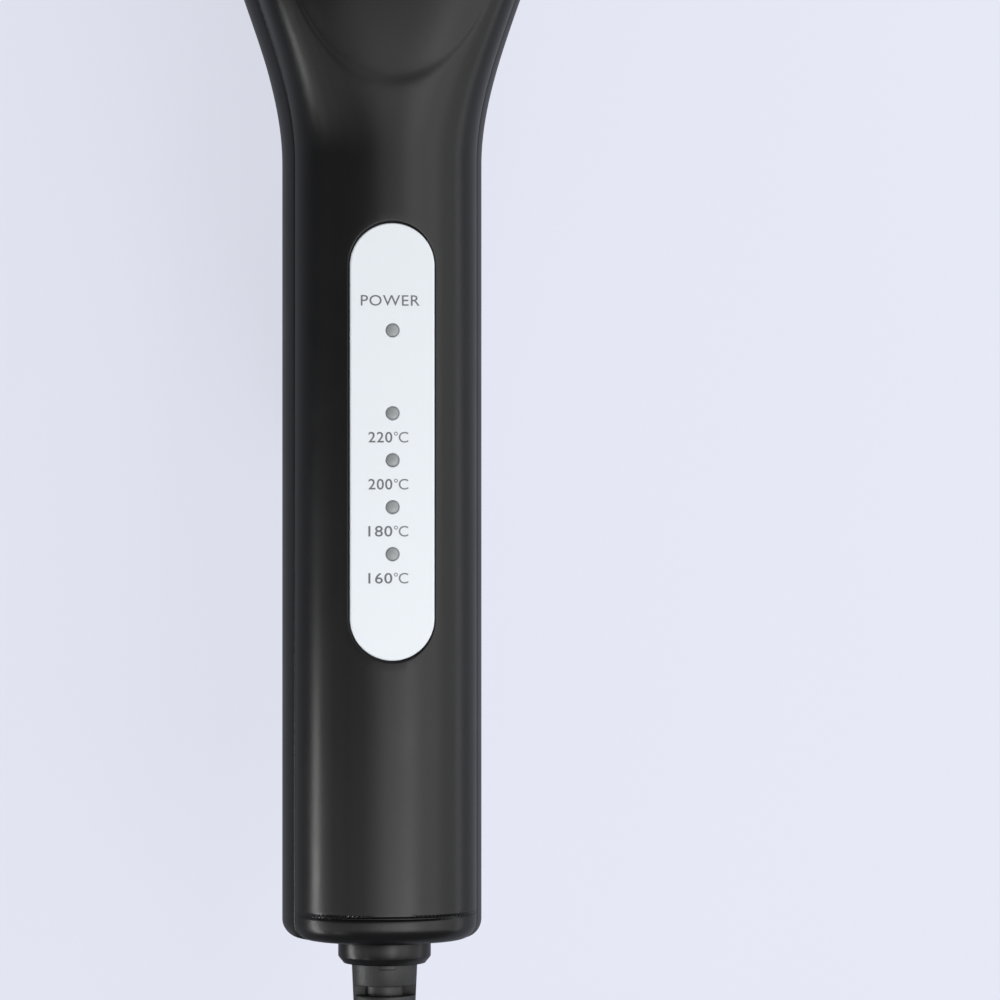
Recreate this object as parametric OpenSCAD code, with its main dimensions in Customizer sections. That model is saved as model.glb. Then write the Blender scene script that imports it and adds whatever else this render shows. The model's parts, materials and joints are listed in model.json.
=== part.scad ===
// Hair straightener with a thumb lever: a handle with an indicator panel, a wide flat head,
// and a rocker that carries the rear jaw at one end and the lever at the other.
// Every module draws in the handle's own axes: x across, y from the cord end to the head,
// z out of the flat back towards the indicator panel. place() then lays the object down on
// its lever and rear jaw, panel up.

/* [Handle] */
// Width of the handle
handle_w = 37; // [35:0.5:41]
// Depth of the handle, from its flat back to its crown
handle_d = 26.5; // [25.5:0.5:29]
// Height of the seam between the shells over the flat back
seam_z = 13.2; // [12.6:0.1:14]
// How far the back shell's side draws in at the seam
shoulder = 1.7; // [1.2:0.1:2.2]
// Radius between the flat back and the sides
back_r = 5; // [4:0.25:5.5]
// Wall thickness of the mouldings
wall = 2.2; // [1.8:0.1:2.4]
// Radius of the edge round the cord end
tail_r = 3.2; // [2.5:0.1:4]
// Distance of the step in the crown from the cord end
step_y = 5.4; // [4.6:0.2:7]
// Drop of the crown at that step
step_drop = 0.9; // [0.4:0.1:1.2]

/* [Head] */
// Length of the casing, from the cord end to the tip of the head
casing_l = 322; // [318:1:330]
// Width of the head
head_w = 66; // [64:1:70]
// Rise of the crown from the handle to the head
head_rise = 2; // [0:0.25:3]
// Length over which the crown rises, from where the handle begins to flare
rise_l = 33; // [28:1:38]
// Where the handle begins to flare
flare_from = 143; // [141:1:146]
// Where the flare ends
flare_to = 204.5; // [202:0.5:206]
// Radius of the head's corners, seen from the front
tip_r = 22; // [19:1:24]
// Radius of the head's end, seen from the side
nose_r = 12; // [10:0.5:13]
// Distance of the sunk panel's round end from the cord end
sunk_from = 156.6; // [155:0.2:160]
// Width of the sunk panel on the head
sunk_w = 43; // [38:1:46]
// Length of the sunk panel's round end
sunk_round = 36; // [30:1:40]
// Margin between the sunk panel and the tip of the head
sunk_margin = 9; // [8:0.5:14]
// Depth of the sunk panel
sunk_d = 0.9; // [0.5:0.1:1.1]

/* [Indicator panel] */
// Length of the panel
panel_l = 79.2; // [77:0.4:82]
// Width of the panel
panel_w = 15.3; // [14:0.1:16]
// Thickness of the panel
panel_t = 1.2; // [1:0.1:1.4]
// Distance of the panel's centre from the cord end
panel_y = 91.3; // [90.5:0.1:92]
// Depth of the panel's face under the crown
panel_sunk = 0.35; // [0.2:0.05:0.5]
// Distance of the lowest lamp from the cord end
lamp_y = 71; // [70.6:0.2:72]
// Spacing of the temperature lamps
lamp_pitch = 8.5; // [8:0.1:8.7]
// Distance from the top temperature lamp to the power lamp
power_gap = 15; // [13:0.5:16]
// Diameter of a lamp's window
lens_d = 2.4; // [2:0.1:2.6]

/* [Push button] */
// Distance of the button from the cord end
button_y = 95; // [93:0.5:98]
// Diameter of the button
button_d = 7.5; // [6.5:0.1:7.8]
// How far the button stands out of the flat back
button_proud = 2.3; // [1.5:0.1:2.6]
// Travel of the button
button_travel = 0.8; // [0.5:0.1:1]
// Diameter of the recess round the button
recess_d = 11.5; // [11:0.1:12]
// Depth of the bezel in that recess
bezel_z = 2.2; // [1.8:0.1:2.4]
// Thickness of the bezel
bezel_t = 1.8; // [1.4:0.1:2]

/* [Labels] */
// Distance of the blank label from the cord end
label_y = 83.6; // [82.5:0.1:84]
// Length of the label along the handle
label_l = 9.1; // [8:0.1:9.4]
// Length of the label across the handle
label_w = 19.8; // [16:0.2:22]
// Distance of the oval sticker from the cord end
sticker_y = 113.4; // [112:0.2:116]
// Length of the sticker along the handle
sticker_l = 10.3; // [9:0.1:11]
// Length of the sticker across the handle
sticker_w = 19; // [16:0.2:22]
// Thickness of both
paper_t = 0.15; // [0.1:0.05:0.25]

/* [Screws] */
// Distance of the seen pair of handle screws from the cord end
screw_y = 65; // [63:0.5:66]
// Distance of the neck pair from the cord end
neck_screw_y = 152; // [150:0.5:154]
// Distance between the two screws of a pair
screw_gap = 18.4; // [17:0.2:19]
// Diameter of a screw recess
screw_recess_d = 6.3; // [6:0.1:6.6]
// Depth of a screw recess
screw_recess_z = 6.5; // [5.5:0.1:7]
// Diameter of a handle screw's head
screw_head_d = 5.4; // [5:0.1:5.6]
// Diameter of a handle screw's thread
screw_d = 2.9; // [2.5:0.1:3]

/* [Hinge and lever] */
// Distance of the hinge pin from the cord end
pivot_y = 185; // [184:0.5:186]
// Height of the hinge pin over the flat back
pivot_z = 3; // [2.8:0.1:3.2]
// Diameter of the hinge pin
pin_d = 4; // [3:0.1:4.2]
// Distance of the lever's end from the cord end
lever_y = 86.5; // [84:0.5:90]
// Slope of the lever's outer face
lever_low_rise = 0.42; // [0.41:0.005:0.43]
// Where the lever bends up to its end
lever_kink_y = 103; // [100:0.5:106]
// Added slope past that bend
lever_kink = 0.237; // [0.18:0.01:0.25]
// Width of the lever near its end
lever_w = 13.2; // [12:0.2:16]
// Length of the lever's rounded end
lever_round = 9.5; // [8:0.5:11]
// Depth of the rear jaw's cover below the flat back
jaw_low = 17; // [16.5:0.25:19]
// Angle through which the jaws open
open_angle = 25; // [24:0.5:25]

/* [Plates] */
// Height of the plane where the plates meet
meet_z = 4; // [3.9:0.05:4.1]
// Gap between the closed plates
plate_gap = 0.3; // [0.2:0.05:0.5]
// How far each plate stands out of its jaw
plate_proud = 1.35; // [1.2:0.05:1.5]
// Margin between a plate's side and the side of the head
plate_side = 7; // [6.5:0.25:9]
// Where the plates begin
plate_from = 209; // [208.5:0.5:211]
// Margin between a plate's end and the tip of the head
plate_end = 17; // [16.5:0.5:24]
// Thickness of a plate's face
plate_t = 2.5; // [2:0.1:2.8]
// Distance between the two springs under the rear plate
plate_spring_gap = 48; // [30:2:56]

/* [Heaters] */
// Margin between a heater's end and the plate's end
heater_end = 13; // [10:1:18]
// Margin between a heater's side and the plate's side
heater_side = 15; // [12:1:17]
// Thickness of a heater
heater_t = 3.6; // [3:0.1:3.8]

/* [Swivel and strain relief] */
// Height of the cord's axis over the flat back
cord_z = 10.5; // [10:0.1:11]
// Diameter of the swivel collar
collar_d = 16.8; // [15:0.1:17.4]
// Length of the collar outside the casing
collar_l = 4.4; // [3.5:0.1:5]
// Diameter of the collar's neck in the casing
neck_d = 10; // [9:0.1:10.6]
// Diameter of the strain relief where it leaves the collar
relief_d = 12.1; // [11.4:0.1:12.6]
// Diameter of the strain relief at its end
relief_end_d = 8.4; // [8:0.1:9]
// Length of the strain relief
relief_l = 42; // [38:1:44]
// Width of a slot in the strain relief
slot_w = 1.8; // [1:0.1:2]
// Number of slots in the strain relief
slots = 8; // [6:1:8]

/* [Cord] */
// Diameter of the cord
cord_d = 6; // [5.5:0.1:6.1]
// Turns of the coil
coil_turns = 7.5; // [7.5:2:9.5]
// Radius of the coil at the middle of its turns
coil_r = 34; // [33:0.5:35]
// Gap between turns of the coil
coil_gap = 0.5; // [0.45:0.01:0.6]
// Thickness of the strap that ties the coil
tie_t = 0.8; // [0.6:0.1:0.9]
// Width of that strap
tie_w = 9; // [6:0.5:12]

/* [Plug] */
// Width of the plug
plug_w = 35.3; // [34:0.1:36]
// Thickness of the plug
plug_t = 13.7; // [13:0.1:14]
// Length of the plug's body
plug_l = 34; // [32:0.5:38]
// Diameter of a plug pin
plug_pin_d = 4; // [3.9:0.05:4.1]
// Length of a plug pin
plug_pin_l = 19; // [18:0.5:20]
// Distance between the two pins
plug_pin_gap = 18.6; // [18:0.1:19.2]

/* [Hidden] */

$fn = 64;

black = [0.09, 0.09, 0.1];
dark_grey = [0.2, 0.2, 0.22];
silver = [0.86, 0.88, 0.9];
steel = [0.62, 0.63, 0.65];
brass = [0.78, 0.62, 0.3];
green = [0.1, 0.35, 0.2];
ceramic = [0.9, 0.88, 0.84];
coating = [0.32, 0.2, 0.16];
red = [0.7, 0.15, 0.1];

far = 400;
fit = 0.05;
play = 0.3;

// Heights and places that follow from the sizes above
plate_w = head_w - 2 * plate_side;
plate_l = casing_l - plate_end - plate_from;
heater_l = plate_l - 2 * heater_end;
heater_w = plate_w - 2 * heater_side;
tail_wall = wall + 0.4;
split_y = flare_to - 7;
crown_base = 8;
front_rim = meet_z + plate_gap / 2 + plate_proud;
rear_rim = meet_z - plate_gap / 2 - plate_proud;
under_gap = 0.6;
lever_top = 1.5;
lever_spare = 3.5;
lever_rise = tan(open_angle + lever_spare);
bend_half = 14;
kink_half = 6;
lever_flare_from = 150;
lever_flare_to = flare_to - 3.5;
lever_taper = 0.08;
cheek_x = [17, 21];
cheek_half = 4.5;
cheek_r = 5.5;
ear_x = [12, 16.5];
ear_r = 6;
ear_half = 5;
notch_half = cheek_x[1] + 1.3;

corner_steps = 4;
side_steps = 3;
crown_steps = 8;

// Smooth step from 0 to 1
function smooth(t) = let(u = max(0, min(1, t))) u * u * (3 - 2 * u);

// Slope s that starts around zero and is rounded over b each way
function bend(d, s, b) = d > b ? s * d : d < -b ? 0 : s * (d + b) * (d + b) / (4 * b);

// Draw-in of a round of radius r, d past the place where it starts
function eased(r, d) = d <= 0 ? 0 : r - sqrt(max(0, r * r - d * d));

function flare(y) = smooth((y - flare_from) / (flare_to - flare_from));
function corner(y, o) = eased(tip_r - o, y - (casing_l - tip_r));
function tail_edge(y) = eased(tail_r, tail_r - y);

// Half width of the casing at y, drawn in by o
function half_w(y, o) =
    handle_w / 2 + (head_w - handle_w) / 2 * flare(y) - o - corner(y, o) - tail_edge(y);

// Height of the crown at y, drawn in by o
function crown(y, o) =
    handle_d + head_rise * smooth((y - flare_from) / rise_l)
    - (y < step_y ? step_drop : 0) - o
    - eased(nose_r - o, y - (casing_l - nose_r)) - tail_edge(y);

// Squareness of the crown: 2 is an ellipse, more is flatter
function squareness(y) = 2.4 + 1.6 * smooth((y - flare_from) / rise_l);

// Right half of the casing's section at y, drawn in by o, from the flat back to the crown
function casing_half(y, o) = let(
    w = half_w(y, o),
    low = o + tail_edge(y),
    r = max(back_r - o, 1),
    top = crown(y, o),
    rise = top - crown_base,
    e = 2 / squareness(y),
    a0 = asin(pow((seam_z - crown_base) / rise, 1 / e)),
    xc = (w - shoulder) / pow(cos(a0), e))
    concat(
        [for (k = [0:corner_steps]) let(a = 90 * k / corner_steps)
            [w - r + r * sin(a), low + r - r * cos(a)]],
        [for (k = [1:side_steps]) let(t = k / side_steps)
            [w - shoulder * t * t, low + r + (seam_z - low - r) * t]],
        [for (k = [1:crown_steps]) let(a = a0 + (90 - a0) * k / crown_steps)
            [xc * pow(max(0, cos(a)), e), crown_base + rise * pow(sin(a), e)]]);

// A whole section from its right half, whose last point lies on the middle
function both_sides(half) = concat(half,
    [for (k = [len(half) - 2:-1:0]) [-half[k][0], half[k][1]]]);

function at_y(section, y) = [for (p = section) [p[0], y, p[1]]];

// Stations along the casing, closer together where it curves
function casing_stations(first, last) = concat(
    [first],
    [for (k = [0.1, 0.28, 0.53, 0.75, 1]) if (k * tail_r > first) k * tail_r],
    [step_y - 0.02, step_y],
    [for (k = [1:2]) step_y + (flare_from - step_y) * k / 3],
    [for (k = [0:11]) flare_from + (flare_to - flare_from) * k / 11],
    [for (k = [1:2]) flare_to + (casing_l - tip_r - flare_to) * k / 3],
    [for (a = [0:15:75]) let(y = casing_l - tip_r + tip_r * sin(a)) if (y < last - 0.5) y],
    [last]);

// Solid through rings of points, all with the same number of points
module loft(rings) {
    n = len(rings[0]);
    m = len(rings);
    polyhedron(
        points = [for (r = rings) for (p = r) p],
        faces = concat(
            [[for (i = [n - 1:-1:0]) i]],
            [for (j = [0:m - 2]) for (i = [0:n - 1])
                [j * n + i, j * n + (i + 1) % n, (j + 1) * n + (i + 1) % n]],
            [for (j = [0:m - 2]) for (i = [0:n - 1])
                [j * n + i, (j + 1) * n + (i + 1) % n, (j + 1) * n + i]],
            [[for (i = [0:n - 1]) (m - 1) * n + i]]));
}

module casing(o) {
    first = o > 1 ? tail_wall : 0;
    last = casing_l - o;
    loft([for (y = casing_stations(first, last)) at_y(both_sides(casing_half(y, o)), y)]);
}

// The rocker: the rear jaw's cover, and the lever as its other end
function rocker_half_w(y, o) = let(
    lin = lever_w / 2 + lever_taper * (min(y, lever_flare_from) - lever_y - lever_round),
    last = lever_w / 2 + lever_taper * (lever_flare_from - lever_y - lever_round),
    grown = lin + (head_w / 2 - last)
        * smooth((y - lever_flare_from) / (lever_flare_to - lever_flare_from)),
    into = lever_y + lever_round - y)
    (into > 0
        ? max(0.5, lever_w / 2 * sqrt(max(0, 1 - pow(into / lever_round, 2))))
        : grown) - o - corner(y, o);

function rocker_top(y) =
    y > split_y + 0.9 ? rear_rim
    : y > pivot_y + 1 ? -under_gap
    : -lever_top - lever_rise * (pivot_y - y) - bend(lever_kink_y - y, lever_kink, kink_half);

function rocker_low(y, o) =
    -jaw_low + o - bend(pivot_y - y, lever_low_rise, bend_half)
    - bend(lever_kink_y - y, lever_kink, kink_half)
    + eased(nose_r - o, y - (casing_l - nose_r));

// Right half of the rocker's section, from the flat bottom's edge to its open top
function rocker_half(y, w, top, low) = let(flat = 0.42 * w, e = 2 / 2.6)
    concat(
        [[flat, low]],
        [for (k = [1:crown_steps]) let(a = 90 * k / crown_steps)
            [flat + (w - flat) * pow(sin(a), e), top - (top - low) * pow(max(0, cos(a)), e)]]);

function mirrored_ring(half, y) = concat(
    [for (p = half) [p[0], y, p[1]]],
    [for (k = [len(half) - 1:-1:0]) [-half[k][0], y, half[k][1]]]);

function rocker_stations(first, last) = concat(
    [first],
    [for (y = concat(
        [for (k = [0.03, 0.13, 0.32, 0.63, 1]) lever_y + lever_round * k],
        [lever_kink_y, lever_kink_y + kink_half, (lever_kink_y + lever_flare_from) / 2],
        [for (k = [0:5]) lever_flare_from + (pivot_y - lever_flare_from) * k / 5],
        [pivot_y + 0.98, pivot_y + 1.02, split_y - 5, split_y + 0.88, split_y + 0.92, flare_to],
        [for (k = [1:2]) flare_to + (casing_l - tip_r - flare_to) * k / 3]))
        if (y > first + 0.2) y],
    [for (a = [0:15:75]) let(y = casing_l - tip_r + tip_r * sin(a)) if (y < last - 0.5) y],
    [last]);

module rocker_solid() {
    loft([for (y = rocker_stations(lever_y, casing_l))
        mirrored_ring(rocker_half(y, rocker_half_w(y, 0), rocker_top(y), rocker_low(y, 0)), y)]);
}

// Hollow of the rocker, closed over the lever and open over the jaw
hollow_from = 140;
hollow_open = 174;
module rocker_hollow() {
    stations = rocker_stations(hollow_from, casing_l - wall);
    loft([for (y = concat([for (s = stations) if (s < hollow_open) s], [hollow_open]))
        mirrored_ring(rocker_half(y, rocker_half_w(y, wall), rocker_top(y) - wall,
            rocker_low(y, wall)), y)]);
    loft([for (y = concat([hollow_open - 0.1], [for (s = stations) if (s > hollow_open) s]))
        let(w = rocker_half_w(y, wall))
        mirrored_ring(concat(rocker_half(y, w, rocker_top(y), rocker_low(y, wall)),
            [[w, rear_rim + 5]]), y)]);
}

// How the object lies: on the lever's end and on the rear jaw
lever_feet = [for (y = rocker_stations(lever_y, casing_l)) if (y < pivot_y) [y, rocker_low(y, 0)]];
jaw_feet = [for (y = rocker_stations(lever_y, casing_l)) if (y > pivot_y) [y, rocker_low(y, 0)]];
lie_slope = max([for (p = lever_feet) min([for (q = jaw_feet) (q[1] - p[1]) / (q[0] - p[0])])]);
lie = atan(lie_slope);
floor_z = min([for (p = lever_feet) p[1] * cos(lie) - p[0] * sin(lie)]);
tip_reach = max([for (y = casing_stations(0, casing_l))
    y * cos(lie) + crown(y, 0) * sin(lie)]);
tail_reach = -(collar_l + relief_l) * cos(lie) + (cord_z - relief_end_d / 2) * sin(lie);
mid_y = (tip_reach + tail_reach) / 2;

// A point of the handle's own axes, in the frame of the whole object
function placed(p) = [p[0],
    p[1] * cos(lie) + p[2] * sin(lie) - mid_y,
    -p[1] * sin(lie) + p[2] * cos(lie) - floor_z];

module place() {
    translate([0, -mid_y, -floor_z]) rotate([-lie, 0, 0]) children();
}

// Shaft or bore along y, from y0 to y1
module along(r, y0, y1, x = 0, z = 0) {
    translate([x, y0, z]) rotate([-90, 0, 0]) cylinder(r = r, h = y1 - y0);
}

// Shaft or bore along x
module across(r, x0, x1, y, z) {
    translate([x0, y, z]) rotate([0, 90, 0]) cylinder(r = r, h = x1 - x0);
}

// Shaft or bore along z
module up(r, z0, z1, x = 0, y = 0) {
    translate([x, y, z0]) cylinder(r = r, h = z1 - z0);
}

module block(x0, x1, y0, y1, z0, z1) {
    translate([x0, y0, z0]) cube([x1 - x0, y1 - y0, z1 - z0]);
}

// Tube of radius r along points; ref is a direction that the points never follow
function unit(v) = v / norm(v);
module tube(points, r, sides, ref) {
    m = len(points);
    loft([for (i = [0:m - 1])
        let(t = unit(points[min(i + 1, m - 1)] - points[max(i - 1, 0)]),
            a = unit(cross(t, ref)),
            b = cross(t, a))
        [for (k = [0:sides - 1]) let(g = 360 * (k + 0.5) / sides)
            points[i] + r * (cos(g) * a + sin(g) * b)]]);
}

// Everything of the casing that belongs to the front shell
module front_zone() {
    block(-far, far, -1, split_y + 0.01, seam_z, far);
    block(-far, far, split_y, far, front_rim, far);
}

module back_zone() {
    block(-far, far, -1, split_y - 0.1, -1, seam_z);
}

module screw_pair(y) {
    for (s = [-1, 1]) translate([s * screw_gap / 2, y, 0]) children();
}

module handle_screw_places() {
    screw_pair(screw_y) children();
    screw_pair(neck_screw_y) children();
}

boss_gap = 0.2;
boss_r = screw_recess_d / 2 + 1.4;
post_r = 3.6;
boss_top = 11;
screw_end = 18.5;

board_z = 15;
board_t = 1.6;
board_half = 12;
board_end_y = neck_screw_y - boss_r - 4;
board_start_y = screw_y + boss_r + 0.6;
lamps = concat([for (k = [0:3]) lamp_y + lamp_pitch * k], [lamp_y + 3 * lamp_pitch + power_gap]);
board_screw_places = [[-9.2, lamp_y + lamp_pitch * 1.5], [9.2, lamp_y + lamp_pitch * 4.2]];
board_post_r = 2.6;
board_screw_r = 0.9;

panel_top = handle_d - panel_sunk;
panel_gap = 0.25;

module panel_plate(grow, z0, z1) {
    for (s = [-1, 1])
        up(panel_w / 2 + grow, z0, z1, 0, panel_y + s * (panel_l - panel_w) / 2);
    block(-panel_w / 2 - grow, panel_w / 2 + grow, panel_y - (panel_l - panel_w) / 2,
        panel_y + (panel_l - panel_w) / 2, z0, z1);
}

// Outline of the sunk panel on the head: half an ellipse, then straight to a round end
module sunk_outline() {
    straight_from = sunk_from + sunk_round;
    straight_to = casing_l - sunk_margin - sunk_w / 2;
    translate([0, straight_from]) scale([sunk_w / 2, sunk_round]) circle(r = 1);
    translate([-sunk_w / 2, straight_from]) square([sunk_w, straight_to - straight_from]);
    translate([0, straight_to]) circle(d = sunk_w);
}

// Places of the four screws that hold a plate frame
frame_screws = concat(
    [for (s = [-1, 1]) [s * (plate_w / 2 - 7), plate_from - 5.6]],
    [for (s = [-1, 1]) [s * (plate_w / 2 - 14), casing_l - plate_end / 2 + 0.5]]);
frame_z0 = front_rim + 0.5;
frame_t = 3.8;
frame_z1 = frame_z0 + frame_t;
frame_inset = wall + 0.9;
frame_screw_r = 1.3;
frame_head_r = 2.6;
frame_boss_r = 3.1;

// Front shell

module front_shell() {
    color(black) place() difference() {
        union() {
            intersection() {
                casing(0);
                union() {
                    difference() {
                        front_zone();
                        casing(wall);
                    }
                    handle_screw_places() up(post_r, boss_top + boss_gap, far);
                    for (p = board_screw_places)
                        up(board_post_r, board_z + board_t, far, p[0], p[1]);
                    for (p = frame_screws) up(frame_boss_r, frame_z1, far, p[0], p[1]);
                    for (s = [-1, 1]) mirror([s > 0 ? 0 : 1, 0, 0])
                        block(cheek_x[0], cheek_x[1], pivot_y - cheek_half,
                            pivot_y + cheek_half, seam_z, far);
                }
            }
            for (s = [-1, 1]) mirror([s > 0 ? 0 : 1, 0, 0]) {
                block(cheek_x[0], cheek_x[1], pivot_y - cheek_half, pivot_y + cheek_half,
                    pivot_z, seam_z + 1);
                across(cheek_r, cheek_x[0], cheek_x[1], pivot_y, pivot_z);
            }
        }
        across(pin_d / 2, -far, far, pivot_y, pivot_z);
        along(neck_d / 2 + fit, -1, tail_wall + 1, 0, cord_z);
        handle_screw_places() up(screw_d / 2, 0, screw_end + 1);
        for (p = board_screw_places) up(board_screw_r, 0, board_z + board_t + 4, p[0], p[1]);
        for (p = frame_screws) up(frame_screw_r, 0, frame_z1 + 9, p[0], p[1]);
        panel_plate(panel_gap, panel_top - panel_t, far);
        for (y = lamps) up(lens_d / 2 + 0.15, 0, far, 0, y);
        sunk_panel();
    }
}

// What the sunk panel takes off the head: a skin of even depth inside its outline
module sunk_panel() {
    intersection() {
        translate([0, 0, seam_z + 3]) linear_extrude(far) sunk_outline();
        difference() {
            block(-head_w, head_w, sunk_from - 5, casing_l, seam_z + 1, far);
            casing(sunk_d);
        }
    }
}

// Back shell

module back_shell() {
    cup_r = recess_d / 2 + 1.5;
    cup_z = bezel_z + bezel_t + 1.4;
    color(black) place() difference() {
        intersection() {
            casing(0);
            union() {
                difference() {
                    back_zone();
                    casing(wall);
                }
                handle_screw_places() up(boss_r, 0, boss_top);
                up(cup_r, 0, cup_z, 0, button_y);
            }
        }
        handle_screw_places() {
            up(screw_recess_d / 2, -1, screw_recess_z);
            up(screw_d / 2 + 0.2, 0, boss_top + 1);
        }
        up(recess_d / 2, -1, bezel_z + bezel_t, 0, button_y);
        up(flange_r + play, 0, cup_z + 1, 0, button_y);
        along(neck_d / 2 + fit, -1, tail_wall + 1, 0, cord_z);
        block(-notch_half, notch_half, hollow_open + 2, far, -1, seam_z + 1);
    }
}

// Indicators, board and button

module indicator_panel() {
    color(silver) place() difference() {
        panel_plate(0, panel_top - panel_t, panel_top);
        for (y = lamps) up(lens_d / 2 + fit, 0, far, 0, y);
    }
}

led_top = board_z + board_t + 3.6;
lens_flange_z = handle_d - wall - 1;

module indicator_lenses() {
    color(dark_grey) place() for (y = lamps) {
        up(lens_d / 2, led_top + 0.4, panel_top, 0, y);
        up(lens_d / 2 + 0.6, lens_flange_z, lens_flange_z + 0.8, 0, y);
    }
}

module indicator_leds() {
    led_r = 1.5;
    color(red) place() for (y = lamps) {
        up(led_r + 0.4, board_z + board_t, board_z + board_t + 0.8, 0, y);
        up(led_r, board_z + board_t, led_top - led_r, 0, y);
        translate([0, y, led_top - led_r]) sphere(r = led_r);
    }
}

module control_board() {
    tongue = 3.6;
    color(green) place() difference() {
        union() {
            block(-board_half, board_half, board_start_y, board_end_y,
                board_z, board_z + board_t);
            block(-tongue, tongue, lamp_y - 3, board_start_y + 1, board_z, board_z + board_t);
        }
        for (p = board_screw_places)
            up(board_screw_r + 0.1, 0, far, p[0], p[1]);
    }
}

module board_screws() {
    head_r = 1.8;
    color(steel) place() for (p = board_screw_places) {
        up(head_r, board_z - 1.2, board_z, p[0], p[1]);
        up(board_screw_r, board_z - 1, board_z + board_t + 3.6, p[0], p[1]);
    }
}

switch_half = 3;
switch_h = 3.5;
plunger_r = 1.6;
plunger_in = 1.2;
flange_r = 4.6;
flange_t = 1.2;
flange_z = bezel_z + bezel_t + 0.05;

module tact_switch() {
    color(dark_grey) place() difference() {
        block(-switch_half, switch_half, button_y - switch_half, button_y + switch_half,
            board_z - switch_h, board_z);
        up(plunger_r + fit, 0, board_z - switch_h + plunger_in + button_travel + play,
            0, button_y);
    }
}

module button_bezel() {
    color(steel) place() difference() {
        up(recess_d / 2 - 0.02, bezel_z, bezel_z + bezel_t, 0, button_y);
        up(button_d / 2 + 0.08, -1, 20, 0, button_y);
        translate([0, button_y, bezel_z - 0.01])
            cylinder(r1 = recess_d / 2 - 0.6, r2 = button_d / 2 + 0.3, h = 1);
    }
}

module push_button() {
    color(black) place() {
        difference() {
            up(button_d / 2, -button_proud, flange_z + flange_t, 0, button_y);
            translate([0, button_y, -button_proud - 30.2]) sphere(r = 30.6, $fn = 128);
        }
        up(flange_r, flange_z, flange_z + flange_t, 0, button_y);
        up(plunger_r, flange_z, board_z - switch_h + plunger_in, 0, button_y);
    }
}

module inspection_sticker() {
    color("white") place() translate([0, sticker_y, -paper_t])
        linear_extrude(paper_t) scale([sticker_w / 2, sticker_l / 2]) circle(r = 1, $fn = 48);
}

module rating_label() {
    color("white") place()
        block(-label_w / 2, label_w / 2, label_y - label_l / 2, label_y + label_l / 2,
            -paper_t, 0);
}

module handle_screws() {
    head_t = 2;
    drive_w = 0.9;
    color(steel) place() handle_screw_places() difference() {
        union() {
            up(screw_head_d / 2, screw_recess_z - head_t, screw_recess_z);
            up(screw_d / 2, screw_recess_z - head_t, screw_end);
        }
        for (a = [0, 90]) rotate([0, 0, a + 20])
            block(-screw_head_d * 0.34, screw_head_d * 0.34, -drive_w / 2, drive_w / 2,
                0, screw_recess_z - head_t + 1.1);
    }
}

// Plates and heaters: drawn for the front jaw, and mirrored for the rear jaw

module at_rear() {
    translate([0, 0, 2 * meet_z]) mirror([0, 0, 1]) children();
}

face_z = meet_z + plate_gap / 2;
side_t = 1.6;
flange_w = 2.4;
plate_h = frame_z1 + 0.1 + 1.5 - face_z;
edge_r = 2;

module plate() {
    half = plate_w / 2;
    y1 = plate_from + plate_l;
    difference() {
        union() {
            for (s = [-1, 1])
                along(edge_r, plate_from, y1, s * (half - edge_r), face_z + edge_r);
            block(-half + edge_r, half - edge_r, plate_from, y1, face_z, face_z + plate_h);
            block(-half, half, plate_from, y1, face_z + edge_r, face_z + plate_h);
            block(-half - flange_w, half + flange_w, plate_from, y1,
                frame_z1 + 0.1, face_z + plate_h);
        }
        block(-half + side_t, half - side_t, plate_from - 1, y1 + 1,
            face_z + plate_t, face_z + plate_h + 1);
    }
}

module frame_outline() {
    ys = concat([split_y + 1.5, flare_to],
        [for (a = [0:15:90]) casing_l - tip_r + (tip_r - frame_inset) * sin(a)]);
    polygon(concat(
        [for (y = ys) [half_w(y, frame_inset), y]],
        [for (k = [len(ys) - 1:-1:0]) [-half_w(ys[k], frame_inset), ys[k]]]));
}

module frame() {
    gap = 0.4;
    difference() {
        translate([0, 0, frame_z0]) linear_extrude(frame_t) frame_outline();
        block(-plate_w / 2 - gap, plate_w / 2 + gap, plate_from - gap,
            plate_from + plate_l + gap, frame_z0 - 1, frame_z1 + 1);
        for (p = frame_screws) {
            up(frame_screw_r + 0.15, 0, 20, p[0], p[1]);
            up(frame_head_r + 0.3, frame_z0 - 1, frame_z0 + 2, p[0], p[1]);
        }
    }
}

module frame_screw_set() {
    for (p = frame_screws) difference() {
        union() {
            up(frame_head_r, frame_z0 + 0.4, frame_z0 + 2, p[0], p[1]);
            up(frame_screw_r, frame_z0 + 1, frame_z1 + 8, p[0], p[1]);
        }
        for (a = [0, 90]) translate([p[0], p[1], 0]) rotate([0, 0, a])
            block(-1.7, 1.7, -0.35, 0.35, 0, frame_z0 + 1.2);
    }
}

heater_y = plate_from + plate_l / 2;
heater_z = face_z + plate_t;
clip_z = heater_z + heater_t;
clip_t = 0.8;

module heater() {
    block(-heater_w / 2, heater_w / 2, heater_y - heater_l / 2, heater_y + heater_l / 2,
        heater_z, clip_z);
}

// Spring clip: a strip over the heater with arms to the plate's side walls
module heater_clip() {
    strip = heater_w / 2 - 3;
    arm_l = 10;
    reach = plate_w / 2 - side_t;
    block(-strip, strip, heater_y - heater_l / 2 + 4, heater_y + heater_l / 2 - 4,
        clip_z, clip_z + clip_t);
    for (s = [-1, 1]) block(-reach, reach, heater_y + s * heater_l / 4 - arm_l / 2,
        heater_y + s * heater_l / 4 + arm_l / 2, clip_z, clip_z + clip_t);
}

module front_plate() { color(coating) place() plate(); }
module front_plate_frame() { color(dark_grey) place() frame(); }
module front_frame_screws() { color(steel) place() frame_screw_set(); }
module front_heater() { color(ceramic) place() heater(); }
module front_heater_clip() { color(steel) place() heater_clip(); }

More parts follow.
